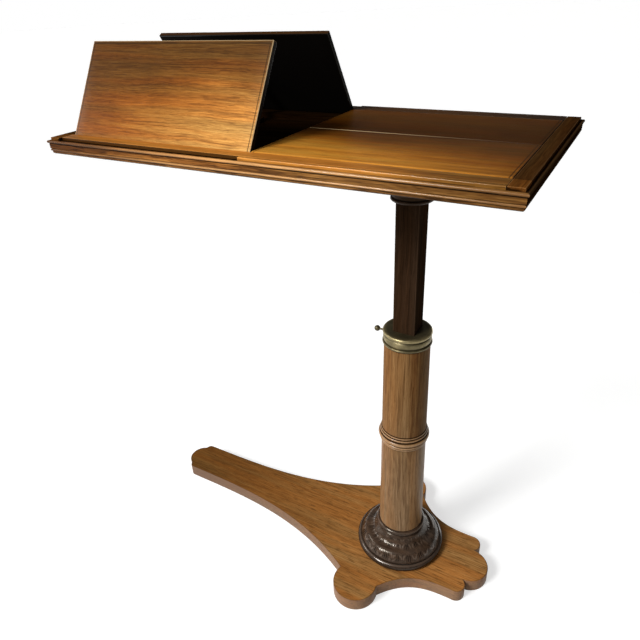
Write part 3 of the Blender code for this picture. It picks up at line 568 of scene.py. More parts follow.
class BaseSizes(bpy.types.PropertyGroup):
    arm_end_radius: a_length("Arm end", "Radius of the arm's round end", 0.030)
    arm_shoulder: a_length("Arm shoulder", "Radius of the arm's shoulders", 0.011)
    ear_radius: a_length("Ear", "Radius of each round ear", 0.042)
    ear_back: a_length("Ear set back", "Ears behind the column's axis", 0.037)
    ear_spread: a_length("Ear spread", "Ears from the middle line", 0.133)
    toe_radius: a_length("Toe", "Radius of the toe", 0.037)
    flank_radius: a_length("Flank", "Radius of the lobes beside the toe", 0.0175)
    flank_overlap: a_length("Flank overlap", "How far lobe and toe overlap", 0.0027)
    arris: a_length("Arris", "Rounding of the board's edges", 0.0014)


class CarvingSizes(bpy.types.PropertyGroup):
    leaves: IntProperty(name="Leaves", description="Leaves round the foot ring", default=20, min=6, max=40)
    depth: a_length("Depth", "Depth of the carving", 0.00036)


class Colours(bpy.types.PropertyGroup):
    honey_dark: a_colour("Honey, dark", "Dark streaks of the boards", (0.120, 0.045, 0.010))
    honey: a_colour("Honey", "Boards", (0.260, 0.110, 0.026))
    honey_light: a_colour("Honey, light", "Light streaks of the boards", (0.400, 0.190, 0.052))
    edge_dark: a_colour("Edge, dark", "Dark streaks of the mouldings", (0.030, 0.012, 0.005))
    edge: a_colour("Edge", "Mouldings", (0.118, 0.047, 0.0125))
    edge_light: a_colour("Edge, light", "Light streaks of mouldings", (0.255, 0.118, 0.034))
    column_dark: a_colour("Column, dark", "Dark streaks of the column", (0.115, 0.052, 0.020))
    column: a_colour("Column", "Column", (0.225, 0.115, 0.045))
    column_light: a_colour("Column, light", "Light streaks of the column", (0.340, 0.190, 0.085))
    ebony: a_colour("Ebonised", "Post and boss", (0.0265, 0.0140, 0.0074))
    carved: a_colour("Carved", "Foot ring", (0.050, 0.031, 0.0205))
    brass: a_colour("Brass", "Collar and clamp", (0.300, 0.243, 0.120))
    floor: a_colour("Floor", "Floor of the stage", (0.58, 0.58, 0.575))


class StageSizes(bpy.types.PropertyGroup):
    lens: FloatProperty(name="Lens", description="Focal length in millimetres", default=32.03)
    place: FloatVectorProperty(
        name="Camera", description="Where the camera stands", subtype="XYZ", default=(0.2825, -0.7466, 1.0111)
    )
    yaw: an_angle("Yaw", "Turn to the left of +Y", 0.5394)
    pitch: an_angle("Pitch", "Tilt below level", 0.5275)
    roll: an_angle("Roll", "Lean of the picture", 0.0524)
    key: FloatProperty(name="Key light", description="Power of the lamp before the top in watts", default=3.0)
    side: FloatProperty(name="Side light", description="Power of the lamp on the left in watts", default=7.0)
    back: FloatProperty(name="Back light", description="Power of the low lamp behind in watts", default=4.0)
    broad: FloatProperty(name="Broad light", description="Strength of the broad soft light", default=2.8)
    ambient: FloatProperty(name="Ambient", description="Strength of the even light", default=0.30)
    backdrop: FloatProperty(name="Backdrop", description="Strength of the floor's own white", default=0.60)


class TableSettings(bpy.types.PropertyGroup):
    base: PointerProperty(type=BaseSizes)
    carving: PointerProperty(type=CarvingSizes)
    colours: PointerProperty(type=Colours)
    stage: PointerProperty(type=StageSizes)


def settings():
    return bpy.context.scene.reading_table


# Finishes, each made once and shared


def shades(group, strength=1.0, spread=1.0):
    """Dark, middle and light tone of a wood: drawn to the middle by spread, then brightened by strength."""
    keys = (f"{group}_dark", group, f"{group}_light")
    dark, middle, light = (np.array(getattr(settings().colours, key)) for key in keys)
    return [strength * (middle + spread * (tone - middle)) for tone in (dark, middle, light)]


def toned(*runs):
    """A tone that changes along the axes, for wood's lining; on most pieces it is painted light and shade.
    Each run is an axis, where it starts and ends, and the tones there.
    """

    def lining(paint, colour, rough):
        axes = paint.parts(paint.place())
        for axis, start, end, first, second in runs:
            colour = paint.times(colour, paint.mix(axes[axis].between(start, end), first, second))
        return colour, rough

    return lining


@cache
def finish_floor_board():
    """Paler to the right and specked with pores, with a greyer, duller side."""
    tones = toned((0, -0.55, 0.10, (0.57, 0.55, 0.51), (1.34, 1.40, 1.62)))
    speck_tone, side_tone = (0.085, 0.035, 0.010), (0.21, 0.145, 0.112)

    def lining(paint, colour, rough):
        colour, rough = tones(paint, colour, rough)
        x, y, z = paint.parts(paint.place())
        specks = paint.noise(paint.vector(x * 38.0, y * 320.0, z * 320.0), 1.0, 3.0).between(0.53, 0.68)
        colour = paint.mix(specks * 0.62, colour, speck_tone)
        side = paint.mark("side")
        return paint.mix(side * 0.55, colour, side_tone), rough + 0.1 * side

    colours = shades("honey", 1.02, 0.60)
    return wood("floor_board_wood", colours, figure=0.3, fine_by=1.9, shift=2.0, lining=lining)


@cache
def finish_ledge():
    """Darker at both ends and at the back: painted shade."""
    lining = toned(
        (1, -0.15, 0.12, (1.75, 1.55, 0.98), (0.24, 0.19, 0.11)),
        (0, -0.02, 0.14, WHITE, (0.40, 0.43, 0.46)),
        (0, -0.53, -0.30, (0.66, 0.62, 0.60), WHITE),
    )
    return wood("ledge_wood", shades("honey", 1.0, 0.7), figure=0.3, fine_by=1.2, shift=12.0, lining=lining)


def flap_size():
    """A flap's length, its reach from the hinge and its thickness, from one that lies shut."""
    shut_low, shut_high = low("front_right_flap"), high("front_right_flap")
    reach = shut_high[1] - JOINTS["front_right_flap_hinge"]["pos_m"][1]
    return shut_high[0] - shut_low[0], reach, shut_high[2] - shut_low[2]


def flap_lining(paint, colour, rough, painted_light, raised, wear_and_highlight):
    """A lip 4 mm wide with a fine dark joint runs round the flap. Painted light makes it gold towards the
    hinge and one end, and darker in shade elsewhere, and its underside has black painted shade. Its rim has
    painted shade, except where its edges have a painted highlight.

    fading gives how far the painted light goes at the left and right ends of the hinge, then its tones in
    shade, in part light and in full light. worn is how bright the painted highlight on its edges is: all of
    them on a flap that is kept up, and the free one alone on a flap that is kept shut.
    """
    by_left, by_right, shade_tone, golden, full_light_tone = painted_light
    lip = 0.0042
    rim_shade, rub_and_highlight = (0.024, 0.011, 0.004), (0.50, 0.36, 0.19)
    gap, underside_shade = (0.014, 0.006, 0.002), (0.0030, 0.0024, 0.0020)
    place = paint.node("ShaderNodeUVMap", {"uv_map": "place"}).outputs[0]
    u, v, _ = paint.parts(place)
    length, reach, _ = flap_size()
    inside = u.least(length - u).least(reach - v)
    joint = abs(inside - lip).between(0.0011, 0.0003)
    under = paint.mark("under").between(0.3, 0.7)
    hinge_way = 1.0 - v * (1.0 / reach)
    end_way = u * (1.0 / length)
    cloud = paint.noise(paint.stretched(place, (9.0, 16.0, 1.0)), 1.0, 3.0)
    # Painted light: brighter towards the hinge and one end
    fade = hinge_way * (by_left + end_way * (by_right - by_left)) + 0.3 * (cloud - 0.5)
    tones = paint.mix(fade.between(0.05, 0.55), shade_tone, golden)
    pale = fade.between(0.25, 1.0) * (0.6 + 0.4 * end_way if raised else 1.0)
    colour = paint.times(colour, paint.mix(pale, tones, full_light_tone))
    if raised:
        colour = paint.times(colour, paint.mix(end_way, (0.98, 0.93, 0.82), (1.0, 1.09, 1.27)))
    # Painted shade on the rim, and a painted highlight along the lit edges
    rim = inside.between(0.0018, 0.0006)
    lit = rim if raised else (reach - v).between(0.0022, 0.0006) * end_way.between(0.95, 0.0)
    lit = lit * wear_and_highlight
    colour = paint.mix(rim * (0.75 - 0.75 * lit), colour, rim_shade)
    colour = paint.mix(lit * 0.8, colour, rub_and_highlight)
    colour = paint.mix(joint * 0.80, colour, gap)
    # The underside gets black painted shade
    return paint.mix(under, colour, underside_shade), rough + 0.25 * under


@cache
def finish_flap(name):
    """The left flaps are figured, the right ones plain. The front ones have painted light and the back ones
    painted shade.
    """
    front, left = name.startswith("front"), name.endswith("left")
    # Tones of each flap's painted light: in shade, in part light and in full light
    tones = {
        "front_left": ((0.34, 0.28, 0.17), (0.92, 0.66, 0.28), (2.10, 2.15, 1.80)),
        "front_right": ((0.33, 0.27, 0.15), (0.74, 0.59, 0.25), (1.90, 1.88, 0.98)),
        "back_left": ((0.30, 0.24, 0.14), (0.50, 0.40, 0.22), (0.85, 0.72, 0.40)),
        "back_right": ((0.20, 0.155, 0.070), (0.26, 0.205, 0.088), (0.35, 0.28, 0.125)),
    }
    shares = (0.33, 1.05) if left else (1.50, 0.48)
    wear_and_highlight = 0.0 if name == "back_left" else 0.9

    def lining(paint, colour, rough):
        return flap_lining(paint, colour, rough, (*shares, *tones[name]), left, wear_and_highlight)

    spread, figure, fine_by, shift = (0.85, 0.40, 2.2, 3.0) if left else (0.5, 0.25, 1.6, 9.0)
    gloss = 0.06 if front else 0.02
    colours = shades("honey", 1.05, spread)
    return wood(f"{name}_flap_wood", colours, "X", figure, fine_by, 0.34, shift, gloss, lining)


@cache
def finish_edge():
    """Golden in the middle and darker at each end and at the back, as painted light and shade, and the
    wear and painted highlight on its beads are less at each end.
    """
    lining = toned(
        (1, -0.15, 0.12, WHITE, (0.35, 0.32, 0.28)),
        (0, -0.50, -0.18, (0.86, 0.78, 0.68), (1.95, 1.95, 1.75)),
        (0, -0.04, 0.12, WHITE, (0.56, 0.53, 0.48)),
    )

    def rub_and_sheen(paint):
        x = paint.parts(paint.place())[0]
        return (0.22 + 0.58 * x.between(-0.50, -0.22)) * (1.0 - 0.55 * x.between(0.02, 0.14))

    colours = shades("edge")
    return wood("moulded_edge", colours, "X", 0.5, polish=0.30, shift=5.0, gloss=0.06, lining=lining, rub_and_sheen=rub_and_sheen)


@cache
def finish_edge_across():
    # A much darker copy of the moulding wood for the end mouldings: painted shade
    colours = shades("edge", 0.17)
    return wood("moulded_edge_across", colours, "Y", 0.5, polish=0.50, shift=6.0, gloss=0.0)


@cache
def finish_rail():
    """Paler at the front end, a painted highlight where the ledge's line meets it."""
    lining = toned((1, -0.1535, -0.1515, (2.2, 2.0, 1.5), WHITE))
    colours = shades("edge", 0.40, 0.4)
    return wood("banded_rail", colours, "Y", 0.3, 1.6, polish=0.42, shift=2.0, gloss=0.0, lining=lining)


# Near-black wood for the well under the flaps, its racks and the lowered stops: painted shade
@cache
def finish_well():
    return wood("dark_well", shades("edge", 0.07, 0.6), polish=0.55, shift=8.0, gloss=0.0)


@cache
def finish_column():
    """Greyer low down and warmer above its ring, where the right side is also darker and duller. Both are
    painted light and shade, and low down the right side has a paler painted reflection.
    """
    tones = toned((2, 0.10, 0.46, (1.05, 1.12, 1.30), (0.92, 0.85, 0.72)))

    def lining(paint, colour, rough):
        colour, rough = tones(paint, colour, rough)
        x, _, z = paint.parts(paint.place())
        # Painted shade on the upper right side, a painted reflection on the lower right side
        upper = z.between(0.30, 0.33)
        right = paint.mix(upper, (1.15, 1.24, 1.28), (0.72, 0.72, 0.66))
        right = paint.mix(x.between(0.010, 0.036), WHITE, right)
        return paint.times(colour, right), rough + 0.3 * upper

    return wood("column_wood", shades("column", 1.0, 0.8), "Z", 0.25, 1.3, shift=4.0, lining=lining)


@cache
def finish_ebony(grain, gloss=0.08):
    tones = [scaled(settings().colours.ebony, share) for share in (0.75, 1.05, 1.5)]
    return wood(f"ebonised_{grain.lower()}_{round(100 * gloss)}", tones, grain, polish=0.46, gloss=gloss)


@cache
def finish_carved():
    """Dark polish, darker still on the torus at the foot with painted shade."""
    tones = [scaled(settings().colours.carved, share) for share in (0.6, 1.0, 1.5)]
    lining = toned((2, 0.032, 0.052, (0.55, 0.52, 0.50), WHITE))
    return wood("carved_ring_wood", tones, polish=0.19, gloss=0.30, lining=lining)


@cache
def finish_brass():
    brass = settings().colours.brass
    return metal("old_brass", scaled(brass, 0.45), brass, 0.41)


@cache
def finish_steel():
    return metal("rod_steel", (0.16, 0.16, 0.16), (0.42, 0.42, 0.43), 0.34)


def dress(piece, body, node, material):
    """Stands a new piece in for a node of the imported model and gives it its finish."""
    piece.data.materials.append(material)
    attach(piece, body)
    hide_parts(node)


def refinish(material, *nodes):
    """Gives nodes that keep their own shape a finish."""
    for node in nodes:
        kept = frame["nodes"][node].data
        kept.materials.clear()
        kept.materials.append(material)


# Pieces


def base_outline(size, arm_reach, toe_reach):
    """The board's outline: a round arm end with shoulders, sides that sweep out as a power of the way along
    to round ears, sides that sweep in to lobes, and a round toe. The half with y above 0 is mirrored.
    """
    steps = 24
    arm_sweep, toe_sweep = 3.2, 3.0
    way = np.linspace(0, 1, 40)[1:-1]
    tip = arc((size.arm_end_radius - arm_reach, 0), size.arm_end_radius, 180, 111, steps)
    shoulder = arc(tip[-1] + (size.arm_shoulder, 0), size.arm_shoulder, 180, 90, steps)[1:]
    ear = arc((-size.ear_back, size.ear_spread), size.ear_radius, 200, -10, 2 * steps)
    arm_side = shoulder[-1] + np.column_stack((way, way**arm_sweep)) * (ear[0] - shoulder[-1])
    apart = size.toe_radius + size.flank_radius - size.flank_overlap
    bearing = math.radians(100)
    toe_at = np.array((toe_reach - size.toe_radius, 0.0))
    flank_at = toe_at + apart * np.array((math.cos(bearing), math.sin(bearing)))
    toe_cos = (apart**2 + size.toe_radius**2 - size.flank_radius**2) / (2 * apart * size.toe_radius)
    flank_cos = (apart**2 + size.flank_radius**2 - size.toe_radius**2) / (2 * apart * size.flank_radius)
    flank_end = math.degrees(bearing - math.pi + math.acos(flank_cos))
    flank = arc(flank_at, size.flank_radius, 100, flank_end, steps)
    toe = arc(toe_at, size.toe_radius, math.degrees(bearing - math.acos(toe_cos)), 0, steps)[1:]
    toe_side = (flank[0] + np.column_stack((way, way**toe_sweep)) * (ear[-1] - flank[0]))[::-1]
    half = joined(tip, shoulder, arm_side, ear, toe_side, flank, toe)
    return joined(half, half[-2:0:-1] * (1, -1))


class TABLE_OT_base(bpy.types.Operator):
    """Makes the floor board"""

    bl_idname = "reading_table.base"
    bl_label = "Floor board"

    def execute(self, context):
        size = settings().base
        board_low, board_high = low("base_platform"), high("base_platform")
        outline = base_outline(size, -board_low[0], board_high[0])
        thick = board_high[2]
        r = size.arris
        t = np.radians(np.linspace(0, 90, 4))
        heights = np.concatenate(((thick - r + r * np.cos(t)), (r - r * np.sin(t))))
        insets = np.concatenate((r - r * np.sin(t), r - r * np.cos(t)))
        rim = outline[None] - insets[:, None, None] * outward(outline)[None]
        hole = (TENON + FIT) * outline / np.hypot(*outline.T)[:, None]
        share = np.array((0.0, 0.3, 0.6, 0.85, 0.99))[:, None, None]
        rows = len(share)
        top = hole + (rim[0] - hole) * share
        below = hole + (rim[-1] - hole) * share[::-1]
        flat = np.concatenate((top, rim, below))
        z = np.concatenate((np.full(rows, thick), heights, np.zeros(rows)))
        points = np.dstack((flat, np.broadcast_to(z[:, None], flat.shape[:2])))
        marks = {"relief": np.zeros(flat.shape[:2]), "side": np.zeros(flat.shape[:2])}
        marks["relief"][rows : rows + 3] = -0.40
        marks["side"][rows + 2 : rows + 6] = 1.0
        piece = solid("floor_board", points, True, marks=marks)
        dress(piece, "pedestal", "base_platform", finish_floor_board())
        return {"FINISHED"}


def column_profile():
    """The column's outline as (radius, height, relief): tenon, taper, a ring of five half-round beads, neck
    and bore. Each bead has a painted highlight, with wear, and painted shade in and beside its quirks.
    """
    board_top = high("base_platform")[2]
    shoulder = board_top + FIT
    neck_low, neck_high = low("collar")[2] - FIT, high("collar")[2] - 0.0063
    foot, bore, bore_floor, axis = 0.042, 0.02709, 0.036, 0.0001
    ring_z, ring_tall, ring_proud, clear, quirk = 0.314, 0.030, 0.0058, 0.0018, 0.0003
    below_neck = neck_low - 0.003

    def radius(z):
        return foot + (NECK - foot) * (z - board_top) / (neck_low - board_top)

    start = ring_z - ring_tall / 2
    beads = [(radius(start - clear), start - clear, 0.0)]
    t = np.linspace(0, math.pi, 25)
    # Painted highlight on each bead's upper shoulder, painted shade in and beside the quirks
    crest = np.where(np.sin(t) < 0.62, -1.0, np.clip(5.0 * np.cos(t - 1.9) - 4.0, -0.25, 0.85))
    for share, proud in ((0.14, 0.30), (0.20, 0.60), (0.34, 1.00), (0.18, 0.55), (0.14, 0.30)):
        tall = share * ring_tall
        middle = start + tall / 2
        half = (tall - quirk) / 2
        out = radius(middle) + proud * ring_proud * np.sin(t)
        beads.append(np.column_stack((out, middle - half * np.cos(t), crest)))
        start += tall
    beads.append((radius(start + clear), start + clear, 0.0))
    return joined(
        marked([(axis, 0.0), (TENON, 0.0), (TENON, shoulder), (radius(shoulder), shoulder)], 0.0),
        *beads,
        # A painted shadow on the column just under the collar
        (radius(below_neck), below_neck, 0.0),
        (NECK, neck_low, -1.0),
        marked([(SPIGOT, neck_low), (SPIGOT, neck_high)], 0.0),
        marked([(bore, neck_high), (bore, bore_floor), (axis, bore_floor)], 0.0),
    )


class TABLE_OT_column(bpy.types.Operator):
    """Makes the turned column"""

    bl_idname = "reading_table.column"
    bl_label = "Column"

    def execute(self, context):
        piece = turned("turned_column", column_profile(), 144)
        dress(piece, "pedestal", "column", finish_column())
        return {"FINISHED"}


def foot_profile():
    """The foot ring's outline as (radius, height, relief), then the heights of its ogee's ends: a torus, a
    step, an ogee as a sine over a straight line, a groove and a bead. Torus and bead have a painted highlight
    along one line, 1 less the square of the way from it, and painted shade elsewhere.
    """
    z0, z1 = low("foot_ring")[2], high("foot_ring")[2]
    out = high("foot_ring")[0]
    hole_low, hole_high, inner = 0.0424, 0.0418, 0.0415
    torus, bead, overhang, fillet = 0.0079, 0.00595, 0.0055, 0.0028
    bead_out, step, step_z = inner + overhang, out - overhang, z0 + 2 * torus
    foot = np.array((step - 0.002, step_z + fillet))
    head = np.array((bead_out - 0.0015, z1 - 2 * bead - 0.003))
    way = np.linspace(0, 1, 40)
    drawn = way + 0.13 * np.sin(2 * math.pi * way)

    def line(crest, spread):
        return lambda angle: np.clip(1 - ((angle - crest) / spread) ** 2, -0.30, 0.75)

    profile = joined(
        (hole_low, z0, 0.0),
        (out - torus, z0, -0.3),
        beaded((out - torus, z0 + torus), torus, -75, 75, 30, line(58, 20)),
        # Painted shade on the step under the ogee
        (step, step_z, -1.0),
        (step, step_z + fillet, -0.5),
        marked(foot + np.column_stack((way, drawn)) * (head - foot), 0.0),
        beaded((bead_out - bead, z1 - bead), bead, -80, 90, 30, line(38, 11)),
        (hole_high, z1, -0.6),
    )
    return profile, foot[1], head[1]


class TABLE_OT_foot_ring(bpy.types.Operator):
    """Makes the carved ring round the column's foot"""

    bl_idname = "reading_table.foot_ring"
    bl_label = "Foot ring"

    def execute(self, context):
        carving = settings().carving
        profile, foot_z, head_z = foot_profile()

        def bell(way, middle, width):
            return np.exp(-(((way - middle) / width) ** 2))

        def leaves(angle, outline):
            """Leaves on the ogee: a rounded blade across each share of the turn that narrows to a tip at its
            foot and leans its own way, a midrib, slanting veins and fine flutes. They fade out at the step
            and the bead and on two plain ridges, as bell curves up the ogee.
            """
            z = outline[:, 1]
            up = np.clip((z - foot_z) / (head_z - foot_z), 0, 1)[None]
            on = np.where((z > foot_z - WELD) & (z < head_z + WELD), 1.0, 0.0)[None]
            turn = angle * carving.leaves / (2 * math.pi)
            number = np.floor(turn)
            swing = 0.14 * np.sin(2.4 * number) * np.sin(math.pi * up)
            place = np.abs(turn - number - 0.5 + swing)
            width = 0.08 + 0.42 * np.sin(math.pi * np.clip(0.12 + 0.6 * up, 0, 1)) ** 0.8
            inside = np.clip((width - place) / 0.16, 0, 1)
            blade = np.cos(math.pi * np.clip(place, 0, 0.5)) ** 0.7
            veins = 0.25 * np.sin(7 * math.pi * up - 16 * place + number)
            flutes = 0.30 * np.cos(12 * math.pi * turn) * (1 - 0.6 * inside)
            ridges = bell(up, 0.45, 0.07) + bell(up, 0.76, 0.07)
            fade = np.clip(up / 0.12, 0, 1) * np.clip((1 - up) / 0.12, 0, 1) * np.clip(1 - ridges, 0.15, 1)
            rib = bell(place, 0.0, 0.06)
            form = inside * (blade - 0.6 + veins - 0.35 * rib) - 0.15 * (1 - inside) + flutes
            return carving.depth * on * fade * form

        piece = turned("carved_foot_ring", profile, 720, carve=leaves)
        dress(piece, "pedestal", "foot_ring", finish_carved())
        return {"FINISHED"}


class TABLE_OT_collar(bpy.types.Operator):
    """Makes the brass collar with its square hole"""

    bl_idname = "reading_table.collar"
    bl_label = "Collar"

    def execute(self, context):
        z0, z1 = low("collar")[2], high("collar")[2]
        rim, lip, groove, bulge = 0.0034, 0.0018, 0.001, 0.0016
        out = NECK + 0.0024
        band = out - 0.0008
        inner, under = SPIGOT + FIT, z1 - 0.006
        plate, hole = 0.032, 0.026
        rim_at = (out - rim, z1 - rim)
        band_low, band_high = z0 + 2 * lip + groove, z1 - 2 * rim - 2 * groove
        way = np.linspace(-1, 1, 11)
        bulged = np.column_stack((band - bulge * way**2, band_low + (band_high - band_low) * (way + 1) / 2))
        # Marks: a painted highlight on the rim, and painted shade in the grooves, at the band's ends, on the
        # lip and on the plate under the top
        profile = joined(
            marked([(inner, z0), (band - lip, z0)], 0.0),
            marked(arc((band - lip / 3, z0 + lip), lip, -80, 80), -0.45),
            (band - lip, band_low - groove / 2, -1.0),
            marked(bulged, -(way**6)),
            (out - rim, band_high + groove, -1.0),
            marked(arc(rim_at, rim, -80, 60, 14), 0.5),
            marked(arc(rim_at, rim, 70, 90, 2), -0.3),
            marked([(plate, z1), (hole, z1), (hole, under), (inner, under)], -0.9),
        )
        count = len(profile)
        half = (high("square_post")[0] - low("square_post")[0]) / 2 + 0.0004
        piece = turned("brass_collar", profile, square=(half, [count - 3, count - 2]))
        dress(piece, "pedestal", "collar", finish_brass())
        return {"FINISHED"}


class TABLE_OT_clamp(bpy.types.Operator):
    """Makes the clamp screw with its ball"""

    bl_idname = "reading_table.clamp"
    bl_label = "Clamp screw"

    def execute(self, context):
        tip, end = high("clamp_screw")[0], low("clamp_screw")[0]
        ball, stem, neck, chamfer, axis = 0.005, 0.0022, 0.00165, 0.0006, 0.00001
        centre = end + ball
        shoulder = centre + 2 * ball
        meeting = 90 - math.degrees(math.asin(neck / ball))
        profile = joined(
            (axis, tip),
            (stem, tip),
            (stem, shoulder),
            (neck, shoulder - chamfer),
            arc((0.0, centre), ball, meeting, -89.9, 28),
        )
        height = JOINTS["screw_turn"]["pos_m"][2]
        piece = turned("ball_screw", marked(profile, -0.75), 40, lying=height)
        dress(piece, "clamp_knob", "clamp_screw", finish_brass())
        return {"FINISHED"}


class TABLE_OT_post(bpy.types.Operator):
    """Makes the square post and the turned boss at its head"""

    bl_idname = "reading_table.post"
    bl_label = "Post and boss"

    def execute(self, context):
        post = strip("post_bar", "square_post", 2, 0.0011, 0.0008, spacing=0.01)
        dress(post, "top", "square_post", finish_ebony("Z", 0.0))
        z0, z1 = low("post_boss")[2], high("post_boss")[2]
        half = high("square_post")[0] + FIT
        foot = half * math.sqrt(2) + 0.0055
        bead, rim, out, hole = 0.0027, 0.0034, 0.045, 0.026
        flare_low, flare_high = z0 + 2 * bead + 0.0011, z1 - 2 * rim
        t = np.linspace(0, math.pi / 2, 24)
        flare_out = out - 0.002 - (out - foot) * np.cos(t)
        profile = joined(
            (hole, z0),
            (foot - bead, z0),
            arc((foot - bead, z0 + bead), bead, -80, 80),
            np.column_stack((flare_out, flare_low + (flare_high - flare_low) * np.sin(t) ** 2)),
            arc((out - rim, z1 - rim), rim, -80, 80),
            (out - rim, z1),
            (hole, z1),
        )
        boss = turned("turned_boss", profile, square=(half, [0, len(profile) - 1]))
        dress(boss, "top", "post_boss", finish_ebony("X"))
        return {"FINISHED"}


def moulding_outline(floor, bottom):
    """The edge's outline as (outward, height, relief): toe, lower bead, quirk, band, quirk, upper bead, step
    and rebate. Each bead has a painted highlight, with wear, where it faces up and out, and each quirk, the
    rebate and the underside have painted shade.
    """
    rebate, wall = 0.0054, 0.0082
    bead, step, small, quirk = 0.0020, 0.0040, 0.0016, 0.0005
    toe_tall, toe_back = 0.0042, 0.0016
    toe, toe_top = wall - toe_back, bottom + toe_tall
    bead_z, small_z = -step - bead, toe_top + small
    band_low, band_high = small_z + small + quirk, bead_z - bead - quirk

    def shine(angle):
        return np.clip(1.25 * np.cos(np.radians(angle - 42)), -0.8, 1.0)

    return joined(
        marked([(0.0, bottom), (toe - toe_back, bottom)], -0.6),
        (toe, bottom + toe_back, -0.1),
        (toe, toe_top - quirk, -0.2),
        (toe, toe_top, -1.0),
        beaded((wall - small, small_z), small, -80, 80, 12, shine),
        (wall - quirk, band_low, -1.0),
        (wall, band_low + quirk, -0.2),
        marked([(wall, band_low + 2 * quirk), (wall, band_high - 3 * quirk)], 0.0),
        (wall, band_high - quirk, -0.5),
        (wall - quirk, band_high, -1.0),
        beaded((wall, bead_z), bead, -85, 90, 18, shine),
        (rebate + quirk, -step, -0.3),
        marked([(rebate, -step), (rebate, floor), (0.0, floor)], -1.0),
    )


class TABLE_OT_edges(bpy.types.Operator):
    """Makes the mitred mouldings round the top"""

    bl_idname = "reading_table.edges"
    bl_label = "Mouldings"

    def execute(self, context):
        slot_floor, rail_floor, mitre = -0.0143, -0.0083, 0.0002
        bed_low, bed_high = low("bed_board"), high("bed_board")
        top_z = high("front_ledge")[2]
        middle = np.array(((bed_low[0] + bed_high[0]) / 2, 0.0, top_z))
        half_x, half_y = (bed_high[0] - bed_low[0]) / 2 + FIT, bed_high[1] + FIT
        way = np.linspace(-1, 1, 25)[:, None]
        for name, c, s in (("front", 1, 0), ("right", 0, 1), ("back", -1, 0), ("left", 0, -1)):
            if name in SIDES:
                along, inner, floor, look = half_x, half_y, slot_floor, finish_edge()
            else:
                along, inner, floor, look = half_y, half_x, rail_floor, finish_edge_across()
            u, v, stand = resampled(moulding_outline(floor, bed_low[2] - top_z), 0.004).T
            x = way * (along + u[None] - mitre)
            y = np.broadcast_to(-(inner + u), x.shape)
            z = np.broadcast_to(v, x.shape)
            points = np.stack((c * x - s * y, s * x + c * y, z), axis=-1) + middle
            marks = {"relief": np.broadcast_to(stand, x.shape)}
            piece = solid(f"{name}_edge", points, caps=True, marks=marks)
            dress(piece, "top", f"{name}_moulding", look)
        return {"FINISHED"}


def in_slot(outline):
    """Points on the ledge's outer face, which is one side of the book stop's slot."""
    away = np.abs(outline[:, 0])
    return away > away.max() - ON_FACE


def at_flap(outline):
    """Points on the face that lies along a flap, the one nearest the middle of the top."""
    away = np.abs(outline[:, 0])
    return away < away.min() + ON_FACE


def at_both(outline):
    """Points on either of those faces."""
    return in_slot(outline) | at_flap(outline)


class TABLE_OT_rails(bpy.types.Operator):
    """Makes the end rails, the ledges in front of the flaps and the book stops"""

    bl_idname = "reading_table.rails"
    bl_label = "Rails, ledges and stops"

    def execute(self, context):
        corner, stop_corner = 0.0007, 0.0008
        for name in ENDS:
            # Each rail's face along a flap is darkened as painted shade in the joint
            piece = strip(f"{name}_rail", f"{name}_end_rail", 1, corner, grime=at_flap)
            dress(piece, "top", f"{name}_end_rail", finish_rail())
        # The ledge faces in the slot and along the flaps get painted shade with dirt
        for name, grime in zip(SIDES, (in_slot, at_both)):
            piece = strip(f"{name}_ledge_strip", f"{name}_ledge", 0, corner, grime=grime)
            dress(piece, "top", f"{name}_ledge", finish_ledge())
        for name in QUARTERS:
            piece = strip(f"{name}_stop_strip", f"{name}_book_stop", 0, stop_corner)
            # The lowered left stops get the near-black well wood: painted shade
            look = finish_well() if name.endswith("left") else finish_ledge()
            dress(piece, f"{name}_stop", f"{name}_book_stop", look)
        return {"FINISHED"}


class TABLE_OT_flaps(bpy.types.Operator):
    """Makes the four reading flaps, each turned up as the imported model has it"""

    bl_idname = "reading_table.flaps"
    bl_label = "Flaps"

    def execute(self, context):
        _, reach, thick = flap_size()
        half, free, r = thick / 2, reach - 0.0001, 0.0012
        outline = joined(
            arc((0, 0), half, 270, 90, 20),
            arc((free - r, half - r), r, 90, 0, 5),
            arc((free - r, r - half), r, 0, -90, 5),
        )
        for name in QUARTERS:
            hinge = JOINTS[f"{name}_flap_hinge"]
            raised = -math.radians(min(hinge["range_deg"]))
            way = 1 if name.startswith("front") else -1
            y0, z0 = hinge["pos_m"][1:]
            c, s = math.cos(raised), math.sin(raised)

            def lean(x, a, b):
                """Turns the flap up round its hinge."""
                return np.stack((x, y0 + way * (a * c - b * s), z0 + a * s + b * c), axis=-1)

            start, end = low(f"{name}_flap")[0], high(f"{name}_flap")[0]
            # The left flaps' end edges get wear and a painted highlight, the right ones none
            ends = 1.0 if name.endswith("left") else 0.0
            piece = bar(f"{name}_leaf", outline, start, end, 0.0009, lean, flat=True, ends=ends)
            dress(piece, f"{name}_flap", f"{name}_flap", finish_flap(name))
        return {"FINISHED"}


class TABLE_OT_fittings(bpy.types.Operator):
    """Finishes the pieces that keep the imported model's shape"""

    bl_idname = "reading_table.fittings"
    bl_label = "Inner fittings"

    def execute(self, context):
        refinish(finish_ebony("X"), "tenon_wedge_1", "tenon_wedge_2", "tenon_pin")
        refinish(finish_column(), "post_shoe")
        refinish(finish_edge(), "top_bearer")
        # The bed and racks inside the well get painted shade
        refinish(finish_well(), "bed_board", *(f"{name}_rack" for name in QUARTERS))
        refinish(finish_rail(), *(f"{name}_strut" for name in QUARTERS))
        refinish(finish_brass(), "pressure_pad", "shoe_screw", *(f"bearer_screw_{k}" for k in range(1, 5)))
        refinish(finish_brass(), *(f"{name}_strut_bracket" for name in QUARTERS))
        refinish(finish_steel(), *(f"{side}_hinge_rod" for side in SIDES))
        refinish(finish_steel(), *(f"{name}_strut_pin" for name in QUARTERS))
        return {"FINISHED"}


